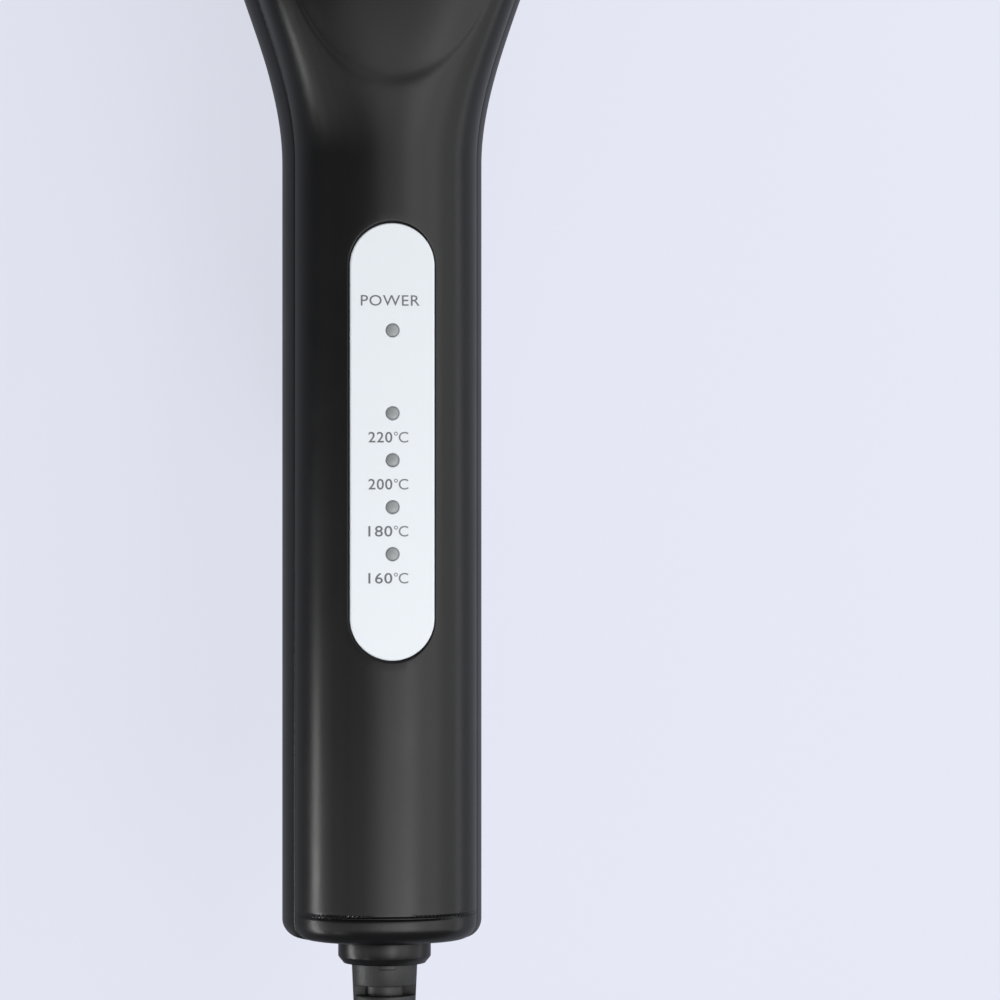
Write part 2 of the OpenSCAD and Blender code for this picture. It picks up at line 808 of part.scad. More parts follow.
module rear_plate() { color(coating) place() at_rear() plate(); }
module rear_plate_frame() { color(dark_grey) place() at_rear() frame(); }
module rear_frame_screws() { color(steel) place() at_rear() frame_screw_set(); }
module rear_heater() { color(ceramic) place() at_rear() heater(); }
module rear_heater_clip() { color(steel) place() at_rear() heater_clip(); }

// Small round part lying along the handle on a heater's clip
module clip_rider(r, l) {
    along(r, heater_y - l / 2, heater_y + l / 2, 0, clip_z + clip_t + r);
    along(r / 3, heater_y - l / 2 - 6, heater_y + l / 2 + 6, 0, clip_z + clip_t + r);
}

module thermal_fuse() { color(silver) place() clip_rider(1.7, 11); }
module temperature_sensor() { color(red) place() at_rear() clip_rider(1.1, 5); }

plate_spring_y = [heater_y - plate_spring_gap / 2, heater_y + plate_spring_gap / 2];
plate_spring_r = 2.6;
plate_spring_wire = 0.35;

// Coil spring along z from z0 to z1
module coil_spring(y, z0, z1, r, wire, turns) {
    steps = 10 * turns;
    tube([for (k = [0:steps])
            [r * cos(36 * k), y + r * sin(36 * k), z0 + (z1 - z0) * k / steps]],
        wire, 5, [0, 0, 1]);
}

module rear_plate_springs() {
    z1 = 2 * meet_z - clip_z - clip_t - plate_spring_wire - 0.02;
    z0 = -jaw_low + wall + plate_spring_wire + 0.05;
    color(steel) place() for (y = plate_spring_y)
        coil_spring(y, z0, z1, plate_spring_r, plate_spring_wire, 6);
}

// Rocker, hinge pin and hinge spring

module lever_and_jaw_cover() {
    ear_low = -jaw_low + 1;
    color(black) place() difference() {
        union() {
            intersection() {
                rocker_solid();
                union() {
                    difference() {
                        block(-far, far, 0, far, -far, far);
                        rocker_hollow();
                    }
                    for (p = frame_screws)
                        up(frame_boss_r, -far, 2 * meet_z - frame_z1, p[0], p[1]);
                    for (s = [-1, 1]) mirror([s > 0 ? 0 : 1, 0, 0])
                        block(ear_x[0], ear_x[1], pivot_y - ear_half, pivot_y + ear_half,
                            -far, -under_gap - 3);
                }
            }
            for (s = [-1, 1]) mirror([s > 0 ? 0 : 1, 0, 0]) {
                block(ear_x[0], ear_x[1], pivot_y - ear_half, pivot_y + ear_half,
                    ear_low, pivot_z);
                across(ear_r, ear_x[0], ear_x[1], pivot_y, pivot_z);
            }
        }
        across(pin_d / 2 + fit, -ear_x[1] - 0.3, ear_x[1] + 0.3, pivot_y, pivot_z);
        for (p = frame_screws)
            up(frame_screw_r, 2 * meet_z - frame_z1 - 9, 10, p[0], p[1]);
        // room for the handle's cheeks
        for (s = [-1, 1]) mirror([s > 0 ? 0 : 1, 0, 0])
            across(cheek_r + 0.7, cheek_x[0] - 0.4, cheek_x[1] + 0.6, pivot_y, pivot_z);
    }
}

module hinge_pin() {
    color(steel) place() across(pin_d / 2, -cheek_x[1], cheek_x[1], pivot_y, pivot_z);
}

spring_wire = 0.75;
spring_r = pin_d / 2 + spring_wire + 0.5;

// Torsion spring round the pin: one leg under the handle's floor, one along the lever
module hinge_spring() {
    turns = 6;
    half_l = 9;
    per_turn = 12;
    steps = turns * per_turn;
    first = -47;
    last = 180;
    seat = spring_wire + 0.45;
    wound = 360 * turns + last - first;
    coil = [for (k = [0:steps]) let(a = first + wound * k / steps)
        [-half_l + 2 * half_l * k / steps,
         pivot_y + spring_r * sin(a), pivot_z + spring_r * cos(a)]];
    lever_leg = [for (y = [pivot_y - 21, pivot_y - 15.5])
        [-half_l, y, -lever_top - lever_rise * (pivot_y - y) + seat]];
    handle_leg = [for (y = [pivot_y - 9.5, pivot_y - 18])
        [half_l, y, -spring_wire - play]];
    color(steel) place()
        tube(concat(lever_leg, coil, handle_leg), spring_wire, 6, [1, 0, 0.01]);
}

// Swivel, strain relief and contacts

flange_gap = 0.3;
collar_gap = 0.3;
spindle_r = 4;
swivel_flange = 2.2;
flange_y = tail_wall + flange_gap;
ring_r = spindle_r + 0.7;
ring_l = 2.4;
ring_y = [for (k = [0:1]) flange_y + 4.3 + (ring_l + 1.8) * k];
spindle_end = ring_y[1] + ring_l + 1.7;
core_r = cord_d / 2 + 0.9;

module swivel_collar() {
    color(black) place() difference() {
        union() {
            along(collar_d / 2, -collar_l + 0.8, -collar_gap, 0, cord_z);
            translate([0, -collar_l, cord_z]) rotate([-90, 0, 0])
                cylinder(r1 = collar_d / 2 - 1, r2 = collar_d / 2, h = 0.8);
            along(neck_d / 2, -collar_gap - 1, flange_y + 1, 0, cord_z);
            along(neck_d / 2 + swivel_flange, flange_y, flange_y + 2, 0, cord_z);
            along(spindle_r, flange_y, spindle_end, 0, cord_z);
        }
        along(cord_d / 2 - 1, 0, spindle_end + 1, 0, cord_z);
    }
}

module slip_rings() {
    color(brass) place() for (y = ring_y) difference() {
        along(ring_r, y, y + ring_l, 0, cord_z);
        along(spindle_r, y - 1, y + ring_l + 1, 0, cord_z);
    }
}

// Two bent strips that stand on the flat back's inner face beside the rings
module contact_brushes() {
    strip_t = 0.5;
    color(brass) place() for (k = [0, 1]) {
        s = k == 0 ? -1 : 1;
        x = s * (ring_r + play);
        block(min(x, x + s * strip_t), max(x, x + s * strip_t),
            ring_y[k], ring_y[k] + ring_l, wall, cord_z + 4);
        block(min(x, x + s * 4), max(x, x + s * 4),
            ring_y[k], ring_y[k] + ring_l, wall, wall + strip_t);
    }
}

// The strain relief's slots go round its core, by turns at front and back, and at the sides
module strain_relief() {
    y0 = -collar_l;
    pitch = relief_l / (slots + 1);
    shift = 0.3;
    web = 1.6;
    color(black) place() difference() {
        translate([0, y0, cord_z]) rotate([90, 0, 0])
            cylinder(d1 = relief_d, d2 = relief_end_d, h = relief_l);
        for (k = [1:slots]) translate([0, y0 - pitch * k - shift, cord_z])
            rotate([0, k % 2 == 1 ? 0 : 90, 0]) difference() {
                for (s = [-1, 1]) translate([0, 0, s * (web + relief_d / 2)])
                    cube([relief_d + 2, slot_w, relief_d], center = true);
                rotate([90, 0, 0]) cylinder(r = core_r, h = slot_w + 1, center = true);
            }
    }
}

// Inner leads: round wires along a few points

module wires(paths, ref) {
    for (p = paths) tube(p, 0.8, 8, ref);
}

module mains_leads() {
    ends = [[-6.5, ring_y[0] + 1.2], [6.5, ring_y[1] + 1.2]];
    color(red) place() wires([for (e = ends) let(s = sign(e[0])) [
        [e[0] + s * 1.6, e[1] + 1.6, wall + 1.6], [e[0] + s * 1.6, e[1] + 6, wall + 1.8],
        [s * 5, 26, wall + 3], [s * 3.2, 40, 8], [s * 2, 54, 12], [s * 2, 62, 13.8],
        [s * 2, lamp_y - 1, board_z - 0.85]]], [1, 0, 0]);
}

module front_heater_leads() {
    color(red) place() wires([for (s = [-1, 1]) [
        [s * 4, board_end_y - 2, board_z + board_t + 0.85],
        [s * 4, board_end_y + 6, board_z + board_t + 1.4],
        [s * 5, 160, 18], [s * 7, 178, 19], [s * 8, 196, 18], [s * 8, 208, 15],
        [s * 8, heater_y - heater_l / 2 - 3, heater_z + heater_t / 2],
        [s * 8, heater_y - heater_l / 2 - 0.1, heater_z + heater_t / 2]]], [1, 0, 0]);
}

module rear_heater_leads() {
    rear_lead_z = 2 * meet_z - heater_z - heater_t / 2;
    color(red) place() wires([for (s = [-1, 1]) [
        [s * 4.2, board_end_y - 2, board_z - 0.85], [s * 4.2, board_end_y + 5, board_z - 1.6],
        [s * 4.4, 160, 12.6], [s * 5, 172, 12], [s * 5.5, 182, 10.5], [s * 5.5, 189.5, 6.5],
        [s * 5.5, 193.5, 1], [s * 5.5, 197.5, -3.6], [s * 5.5, 204, -5], [s * 5.5, 211, -4.6],
        [s * 5.5, heater_y - heater_l / 2 - 4, rear_lead_z],
        [s * 5.5, heater_y - heater_l / 2 - 0.1, rear_lead_z]]], [1, 0, 0]);
}

// Cord: straight out of the strain relief, down to the floor and into a coil

cord_r = cord_d / 2;
coil_centre = [-21, -304];
coil_step = cord_d + coil_gap;
coil_layers = 4;
layer_turns = coil_turns / coil_layers;
coil_span = coil_step * layer_turns;
coil_out = coil_r + coil_span / 2;
coil_z = tie_t + 0.2 + cord_r;
coil_top_z = coil_z + (coil_layers - 1) * coil_step;

// How far along its layers the coil is at turn t, from 0 to 4: it climbs in half a turn
function layer_at(t) = let(k = round(t / layer_turns), d = t - k * layer_turns)
    k == 0 || k == coil_layers ? (k == 0 ? 0 : coil_layers - 1)
    : k - 1 + max(0, min(1, d / 0.5 + 0.5));

// Radius at turn t: in, out, in and out again at a steady rate
function radius_at(t) = let(k = floor(t / layer_turns), d = t / layer_turns - k)
    coil_out - coil_span * (k % 2 == 0 ? d : 1 - d);

function coil_point(t) = let(r = t >= coil_turns ? coil_out : radius_at(t)) [
    coil_centre[0] + r * cos(-360 * t),
    coil_centre[1] + r * sin(-360 * t),
    coil_z + coil_step * layer_at(t)];

coil_rings = 24;
coil_path = concat(
    [coil_point(0) + [0, cord_d, 0]],
    [for (k = [0:round(coil_turns * coil_rings)]) coil_point(k / coil_rings)],
    [coil_point(coil_turns) + [0, cord_d, 0]]);

// Route of the free stretches, in the frame of the whole object
relief_end = placed([0, -collar_l - relief_l, cord_z]);
out_way = [0, -cos(lie), sin(lie)];
lead_path = [
    relief_end,
    relief_end + 6 * out_way,
    relief_end + 14 * out_way,
    [0.3, -206.4, 100.9],
    [1.2, -217.8, 97.2],
    [2.6, -227.2, 89.8],
    [4.5, -233.4, 79.6],
    [6.7, -238.3, 68.6],
    [9, -243.1, 57.6],
    [11.4, -248, 46.7],
    [13.7, -252.9, 35.7],
    [15.7, -257.9, 24.9],
    [17.4, -264.3, 14.8],
    [18.5, -273.3, 7.6],
    [19, -284, 4.3],
    coil_path[0] + [0, cord_d, 0],
    coil_path[0]];

plug_at = [-47, -237];
tail_path = [
    coil_path[len(coil_path) - 1],
    coil_path[len(coil_path) - 1] + [0, cord_d, 0],
    [-60.2, -282.9, 22.5],
    [-57.8, -274.5, 19.7],
    [-54, -267.5, 15.2],
    [-50.2, -260.5, 10.7],
    [-47.8, -252.1, 7.9],
    [plug_at[0], plug_at[1] - cord_d, plug_t / 2],
    [plug_at[0], plug_at[1], plug_t / 2]];

module cord_lead() { color(dark_grey) tube(lead_path, cord_r, 10, [1, 0, 0]); }
module cord_tail() { color(dark_grey) tube(tail_path, cord_r, 10, [1, 0, 0]); }
module cord_coil() { color(dark_grey) tube(coil_path, cord_r, 6, [0, 0, 1]); }

// The coil's least gap to itself, over points a third of a turn or more apart
coil_least = min([for (i = [0:2:len(coil_path) - 1]) min(concat([far],
    [for (j = [i + 8:len(coil_path) - 1]) norm(coil_path[i] - coil_path[j])]))]) - cord_d;
echo("least gap in the coil, mm", coil_least);

module cord_tie() {
    half_w = coil_span / 2 + cord_r + 0.5;
    z1 = coil_top_z + cord_r + 0.3;
    y0 = coil_centre[1] - coil_r;
    x0 = coil_centre[0];
    color(dark_grey) difference() {
        block(x0 - tie_w / 2, x0 + tie_w / 2, y0 - half_w - tie_t, y0 + half_w + tie_t,
            0, z1 + tie_t);
        block(x0 - tie_w, x0 + tie_w, y0 - half_w, y0 + half_w, tie_t, z1);
    }
}

// Plug, lying flat, with its pins towards the handle

module plug_body() {
    nose = 6;
    throat = 9;
    throat_d = plug_t - 2;
    y1 = plug_at[1] + plug_l;
    color(black) translate([plug_at[0], 0, plug_t / 2]) {
        hull() for (s = [-1, 1]) {
            translate([s * (plug_w - plug_t) / 2, y1 - nose, 0]) rotate([-90, 0, 0])
                cylinder(d = plug_t, h = nose, $fn = 32);
            translate([s * 4, plug_at[1] + throat, 0]) rotate([-90, 0, 0])
                cylinder(d = throat_d, h = 1, $fn = 32);
        }
        translate([0, plug_at[1], 0]) rotate([-90, 0, 0])
            cylinder(d1 = cord_d + 3, d2 = throat_d - 0.4, h = throat + 1);
    }
}

module plug_pins() {
    y1 = plug_at[1] + plug_l;
    color(steel) for (s = [-1, 1])
        translate([plug_at[0] + s * plug_pin_gap / 2, y1, plug_t / 2]) rotate([-90, 0, 0]) {
            cylinder(d = plug_pin_d, h = plug_pin_l - 1);
            translate([0, 0, plug_pin_l - 1])
                cylinder(d1 = plug_pin_d, d2 = plug_pin_d - 1.4, h = 1);
        }
}

front_shell();
back_shell();
indicator_panel();
indicator_lenses();
indicator_leds();
control_board();
board_screws();
tact_switch();
button_bezel();
inspection_sticker();
rating_label();
handle_screws();
front_plate();
front_plate_frame();
front_frame_screws();
front_heater();
front_heater_clip();
thermal_fuse();
hinge_pin();
hinge_spring();
contact_brushes();
mains_leads();
front_heater_leads();
rear_heater_leads();
lever_and_jaw_cover();
rear_plate_frame();
rear_frame_screws();
rear_plate();
rear_heater();
rear_heater_clip();
temperature_sensor();
rear_plate_springs();
push_button();
swivel_collar();
slip_rings();
strain_relief();
cord_lead();
cord_coil();
cord_tail();
cord_tie();
plug_body();
plug_pins();
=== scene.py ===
"""Looks of a hair straightener with a thumb lever, dressed on the solids of its frame.

Sizes are in millimetres and in the handle's own axes: x across, a from the cord end towards the
head, n out of the flat back towards the indicator panel. Placement takes them to the frame, in
metres.
"""
import json
import logging
import math
from dataclasses import dataclass, field
from enum import Enum
from functools import lru_cache
from typing import Any, Callable, Iterable, Optional, Sequence

import bmesh
import bpy
import numpy as np
from bmesh.types import BMesh
from mathutils import Matrix, Vector
from mathutils.geometry import delaunay_2d_cdt
from mathutils.kdtree import KDTree


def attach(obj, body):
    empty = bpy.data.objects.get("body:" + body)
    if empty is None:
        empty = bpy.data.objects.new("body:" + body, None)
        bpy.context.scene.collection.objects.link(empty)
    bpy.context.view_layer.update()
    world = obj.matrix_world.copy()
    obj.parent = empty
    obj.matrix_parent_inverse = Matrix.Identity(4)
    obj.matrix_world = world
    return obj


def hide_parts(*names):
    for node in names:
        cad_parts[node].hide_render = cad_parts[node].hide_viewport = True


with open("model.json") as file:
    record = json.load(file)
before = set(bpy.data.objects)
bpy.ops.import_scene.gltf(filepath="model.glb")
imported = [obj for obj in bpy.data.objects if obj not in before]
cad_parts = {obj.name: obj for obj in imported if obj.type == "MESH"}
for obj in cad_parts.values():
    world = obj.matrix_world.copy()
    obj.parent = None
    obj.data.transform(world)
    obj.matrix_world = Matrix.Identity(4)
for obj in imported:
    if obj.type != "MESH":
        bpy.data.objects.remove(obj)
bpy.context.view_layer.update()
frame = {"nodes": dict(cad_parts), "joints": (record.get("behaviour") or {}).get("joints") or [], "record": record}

LOG = logging.getLogger("straightener")
MM = 0.001
Flat = tuple[float, float]
Spot = tuple[float, float, float]


class Body(str, Enum):
    """Bodies of the frame that pieces ride on."""

    HANDLE = "handle"
    ROCKER = "rocker"
    PLATE = "floating_plate"
    BUTTON = "button"
    SWIVEL = "swivel"


class Slot(str, Enum):
    """Material slots of the record."""

    SHELL = "shell"
    FRAME = "frame_plastic"
    PANEL = "panel"
    LENS = "lens"
    LED = "led"
    BOARD = "board"
    STEEL = "steel"
    BEZEL = "bezel"
    PAPER = "paper"
    PLATE = "plate"
    CERAMIC = "ceramic"
    FUSE = "fuse"
    BRASS = "brass"
    SLEEVE = "lead_sleeve"
    CORD = "cord_rubber"
    PINS = "pin_metal"


# Placement and small geometry


@dataclass(frozen=True)
class Placement:
    """Takes points of the handle's own axes, in millimetres, to the frame, in metres."""

    origin: Vector
    along: Vector
    out: Vector

    @classmethod
    def from_joints(cls, joints: Sequence[dict], pivot: Flat) -> "Placement":
        """Reads the lie of the handle from its swivel's axis and its hinge's place.

        Args:
            joints: the frame's joints.
            pivot: the hinge's a and n.

        Returns:
            The placement.
        """
        by_name = {joint["name"]: joint for joint in joints}
        along = Vector(by_name["cord_swivel"]["axis"]).normalized()
        out = Vector((0, -along.z, along.y))
        hinge = Vector(by_name["jaw_hinge"]["pos_m"])
        return cls(hinge - MM * (pivot[0] * along + pivot[1] * out), along, out)

    def point(self, x: float, a: float, n: float) -> Vector:
        """A point of the handle's axes, in the frame."""
        return self.origin + MM * (Vector((x, 0, 0)) + a * self.along + n * self.out)

    def matrix(self) -> Matrix:
        """The same as a matrix."""
        turned = Matrix((MM * Vector((1, 0, 0)), MM * self.along, MM * self.out)).transposed()
        return Matrix.Translation(self.origin) @ turned.to_4x4()


PIVOT: Flat = (185.0, 3.0)
PLACE = Placement.from_joints(frame["joints"], PIVOT)
ON_FLOOR = Matrix.Scale(MM, 4)


def smooth(t: float) -> float:
    """Smooth step from 0 to 1."""
    t = min(max(t, 0.0), 1.0)
    return t * t * (3 - 2 * t)


def eased(radius: float, d: float) -> float:
    """Draw-in of a round, d past the place where it starts."""
    return 0.0 if d <= 0 else radius - math.sqrt(max(0.0, radius * radius - d * d))


def bend(d: float, slope: float, half: float) -> float:
    """A slope that starts round zero and is rounded over half its length each way."""
    if d > half:
        return slope * d
    return 0.0 if d < -half else slope * (d + half) ** 2 / (4 * half)


def spread(first: float, last: float, pitch: float) -> list[float]:
    """Even values from first to last, about a pitch apart, without the first."""
    count = max(1, round(abs(last - first) / pitch))
    return [first + (last - first) * k / count for k in range(1, count + 1)]


def ring(radius: float, count: int, centre: Flat = (0.0, 0.0)) -> list[Flat]:
    """Points of a circle, counter-clockwise."""
    turns = [math.tau * k / count for k in range(count)]
    return [(centre[0] + radius * math.cos(t), centre[1] + radius * math.sin(t)) for t in turns]


def oval(half_w: float, half_l: float, count: int) -> list[Flat]:
    """Points of an ellipse, counter-clockwise."""
    return [(half_w * x, half_l * y) for x, y in ring(1.0, count)]


def stadium(radius: float, straight: float, centre_a: float, arc: int = 24,
            pitch: float = 1.0) -> list[Flat]:
    """Points of a stadium that stands along a.

    Args:
        radius: half its width.
        straight: half the length of its straight sides.
        centre_a: its centre.
        arc: steps in each round end.
        pitch: spacing of the points on its sides.

    Returns:
        Its points, counter-clockwise.
    """
    top = [math.pi * k / arc for k in range(arc + 1)]
    points = [(radius * math.cos(t), centre_a + straight + radius * math.sin(t)) for t in top]
    points += [(-radius, centre_a + s) for s in spread(straight, -straight, pitch)[:-1]]
    points += [(-radius * math.cos(t), centre_a - straight - radius * math.sin(t)) for t in top]
    points += [(radius, centre_a + s) for s in spread(-straight, straight, pitch)[:-1]]
    return points


def within(points: np.ndarray, outline: Sequence[Flat]) -> np.ndarray:
    """Which points lie inside a closed outline."""
    found = np.zeros(len(points), bool)
    x, y = points[:, 0], points[:, 1]
    for (x0, y0), (x1, y1) in zip(outline, [*outline[1:], outline[0]]):
        if y0 == y1:
            continue
        crosses = (y0 > y) != (y1 > y)
        found ^= crosses & (x < (x1 - x0) * (y - y0) / (y1 - y0) + x0)
    return found


def skin_with(bm: BMesh, sharp: float) -> None:
    """Shades a mesh smooth, apart from its edges over a number of degrees."""
    for face in bm.faces:
        face.smooth = True
    for edge in bm.edges:
        edge.smooth = len(edge.link_faces) != 2 or edge.calc_face_angle(0) < math.radians(sharp)


def close_up(bm: BMesh, gap: float = 1e-4) -> None:
    """Merges what meets, drops what has no area, and turns the faces outwards."""
    bmesh.ops.remove_doubles(bm, verts=bm.verts, dist=gap)
    bmesh.ops.dissolve_degenerate(bm, edges=bm.edges, dist=gap)
    bmesh.ops.recalc_face_normals(bm, faces=bm.faces)


def turned(bm: BMesh, profile: Sequence[Flat], move: Matrix, steps: int = 64,
           closed: bool = False) -> None:
    """Spins a profile of radius and height round the z axis, then moves it.

    Args:
        bm: the mesh it is added to.
        profile: pairs of radius and height.
        move: where the turned shape goes.
        steps: steps in the full turn.
        closed: whether the profile closes on itself, as a ring's does.
    """
    part = bmesh.new()
    verts = [part.verts.new((r, 0, h)) for r, h in profile]
    pairs = list(zip(verts, verts[1:]))
    if closed:
        pairs.append((verts[-1], verts[0]))
    edges = [part.edges.new(pair) for pair in pairs]
    bmesh.ops.spin(part, geom=verts + edges, cent=(0, 0, 0), axis=(0, 0, 1),
                   angle=math.tau, steps=steps, use_merge=True, use_duplicate=False)
    close_up(part)
    part.transform(move)
    merge_into(bm, part)


def mesh_of(bm: BMesh, name: str) -> bpy.types.Mesh:
    """Makes a mesh from a working one, which is freed."""
    mesh = bpy.data.meshes.new(name)
    bm.to_mesh(mesh)
    bm.free()
    return mesh


def placed(name: str, data: Any) -> bpy.types.Object:
    """Puts a mesh, a curve, a lamp or a camera into the scene."""
    made = bpy.data.objects.new(name, data)
    bpy.context.scene.collection.objects.link(made)
    return made


def verts_of(geom: Iterable[Any]) -> list[Any]:
    """The vertices in a mix of vertices, edges and faces."""
    return [g for g in geom if isinstance(g, bmesh.types.BMVert)]


def merge_into(bm: BMesh, part: BMesh) -> None:
    """Adds a part's mesh to another and frees it."""
    mesh = mesh_of(part, "part")
    bm.from_mesh(mesh)
    bpy.data.meshes.remove(mesh)


def rounded(radius: float, corner: Flat, start: float, end: float, steps: int = 4) -> list[Flat]:
    """Points of an arc round a centre, from one angle to another in degrees."""
    turns = [math.radians(start + (end - start) * k / steps) for k in range(steps + 1)]
    return [(corner[0] + radius * math.cos(t), corner[1] + radius * math.sin(t)) for t in turns]


def prism(bm: BMesh, outline: Sequence[Spot], push: Vector, edge: float = 0.0) -> None:
    """Adds a flat outline pushed into a solid, its edges rounded.

    Args:
        bm: the mesh it is added to.
        outline: its points, in one plane.
        push: how far and which way it is pushed.
        edge: radius of the rounded edges.
    """
    part = bmesh.new()
    face = part.faces.new([part.verts.new(p) for p in outline])
    pushed = bmesh.ops.extrude_face_region(part, geom=[face], use_keep_orig=True)["geom"]
    bmesh.ops.translate(part, verts=verts_of(pushed), vec=push)
    bmesh.ops.recalc_face_normals(part, faces=part.faces)
    if edge:
        sharp = [e for e in part.edges if e.calc_face_angle(0) > math.radians(50)]
        bmesh.ops.bevel(part, geom=sharp, offset=edge, segments=3, profile=0.5,
                        affect="EDGES", material=-1)
    merge_into(bm, part)


def round_box(half: Flat, corner: float, centre: Flat, steps: int) -> list[Flat]:
    """Points of a rectangle with round corners, counter-clockwise.

    Args:
        half: half its width and half its length.
        corner: radius of its corners.
        centre: its middle.
        steps: steps in each corner.

    Returns:
        Its points.
    """
    points = []
    for sx, sy, start in ((1, 1, 0), (-1, 1, 90), (-1, -1, 180), (1, -1, 270)):
        middle = (centre[0] + sx * (half[0] - corner), centre[1] + sy * (half[1] - corner))
        points += rounded(corner, middle, start, start + 90, steps)
    return points


def wrapped(rings: Sequence[Sequence[Spot]]) -> BMesh:
    """A closed skin over rings of equally many points, with its two ends filled."""
    bm = bmesh.new()
    columns, last = len(rings[0]), len(rings) - 1
    verts = bmesh.ops.create_grid(bm, x_segments=columns, y_segments=last, size=1.0)["verts"]
    for vert in verts:
        column = round((vert.co.x + 1) / 2 * columns) % columns
        vert.co = rings[round((vert.co.y + 1) / 2 * last)][column]
    bmesh.ops.remove_doubles(bm, verts=bm.verts, dist=1e-5)
    bmesh.ops.holes_fill(bm, edges=[e for e in bm.edges if e.is_boundary])
    close_up(bm)
    return bm


# Sheets: flat triangles with a second layer, bent to shape

FREE = -1000.0


@dataclass(frozen=True)
class Mark:
    """Where a point of a sheet goes, apart from the form that the sheet is bent to."""

    sink: float = 0.0
    outer: float = FREE
    inner: float = FREE


@dataclass
class Ring:
    """A closed line of points of a sheet with one mark."""

    points: list[Flat]
    mark: Mark = Mark()


Bend = Callable[[float, float, float, float, bool], Vector]


def as_drawn(x: float, a: float, sink: float, height: float, under: bool) -> Vector:
    """Leaves a point of a sheet where it is drawn, at its height."""
    return Vector((x, a, height))


@dataclass
class Sheet:
    """A flat sheet with outlines in it, which gets a second layer and is bent to a wall."""

    points: list[Flat] = field(default_factory=list)
    marks: list[Mark] = field(default_factory=list)
    edges: list[tuple[int, int]] = field(default_factory=list)
    gaps: list[list[Flat]] = field(default_factory=list)
    border: list[Flat] = field(default_factory=list)

    @classmethod
    def drawn(cls, border: list[Flat], features: Sequence["Feature"],
              seeds: Sequence[Flat]) -> "Sheet":
        """A sheet with a border, features in it, and loose points between them."""
        sheet = cls()
        sheet.line(Ring(border))
        for feature in features:
            feature.draw(sheet)
        sheet.fill(seeds, features)
        return sheet

    def line(self, ring_: Ring) -> None:
        """Draws a closed line. The first one is the sheet's border."""
        self.border = self.border or ring_.points
        first = len(self.points)
        count = len(ring_.points)
        self.points += ring_.points
        self.marks += [ring_.mark] * count
        self.edges += [(first + k, first + (k + 1) % count) for k in range(count)]

    def fill(self, seeds: Sequence[Flat], features: Sequence["Feature"]) -> None:
        """Adds loose points, and leaves out those too close to a feature's lines.

        Args:
            seeds: the loose points.
            features: what is drawn in the sheet.
        """
        spots = np.array(seeds, float)
        marks = [Mark()] * len(seeds)
        kept = np.ones(len(seeds), bool)
        for feature in features:
            lines = [p for r in feature.rings for p in r.points]
            tree = KDTree(len(lines))
            for k, p in enumerate(lines):
                tree.insert((*p, 0.0), k)
            tree.balance()
            inside = within(spots, feature.rings[0].points)
            for k, p in enumerate(spots):
                if tree.find((*p, 0.0))[2] < feature.clear:
                    kept[k] = False
                elif inside[k]:
                    kept[k] = kept[k] and feature.floor is not None
                    marks[k] = feature.floor or marks[k]
        self.points += [tuple(p) for p, keep in zip(spots, kept) if keep]
        self.marks += [m for m, keep in zip(marks, kept) if keep]

    def bent(self, bend_to: Bend) -> BMesh:
        """The closed wall.

        Args:
            bend_to: gives a point from its two coordinates, its sink, its height and its layer.

        Returns:
            The mesh, with rims along every border of the sheet.
        """
        flat, _, faces, *_ = delaunay_2d_cdt([Vector(p) for p in self.points], self.edges, [],
                                             1, 1e-7, True)
        bm = bmesh.new()
        layers = bm.verts.layers.float
        names = ("sink", "outer", "inner")
        sink, outer, inner = (layers.new(name) for name in names)
        verts = []
        for p, mark in zip(flat, self.marks):
            vert = bm.verts.new((p.x, p.y, 0))
            vert[sink], vert[outer], vert[inner] = mark.sink, mark.outer, mark.inner
            verts.append(vert)
        centres = np.array([[sum(flat[i][c] for i in f) / 3 for c in (0, 1)] for f in faces])
        gone = ~within(centres, self.border)
        for gap in self.gaps:
            gone |= within(centres, gap)
        for f, out in zip(faces, gone):
            if not out:
                bm.faces.new([verts[i] for i in f])
        bmesh.ops.delete(bm, geom=[v for v in bm.verts if not v.link_faces], context="VERTS")
        second = bmesh.ops.extrude_face_region(bm, geom=bm.faces[:], use_keep_orig=True)["geom"]
        under = set(verts_of(second))
        for vert in bm.verts:
            below = vert in under
            height = vert[inner] if below else vert[outer]
            vert.co = bend_to(vert.co.x, vert.co.y, 0.0 if below else vert[sink], height, below)
        for name in names:
            layers.remove(layers[name])
        close_up(bm)
        return bm


@dataclass
class Feature:
    """Lines drawn in a sheet, the outermost first, and the mark of the points inside them."""

    rings: list[Ring]
    floor: Optional[Mark] = None
    clear: float = 0.7
    open: bool = False

    def draw(self, sheet: Sheet) -> None:
        """Adds the lines to a sheet, and opens it inside the last one if the feature is a hole."""
        for r in self.rings:
            sheet.line(r)
        if self.open:
            sheet.gaps.append(self.rings[-1].points)


# Finishes


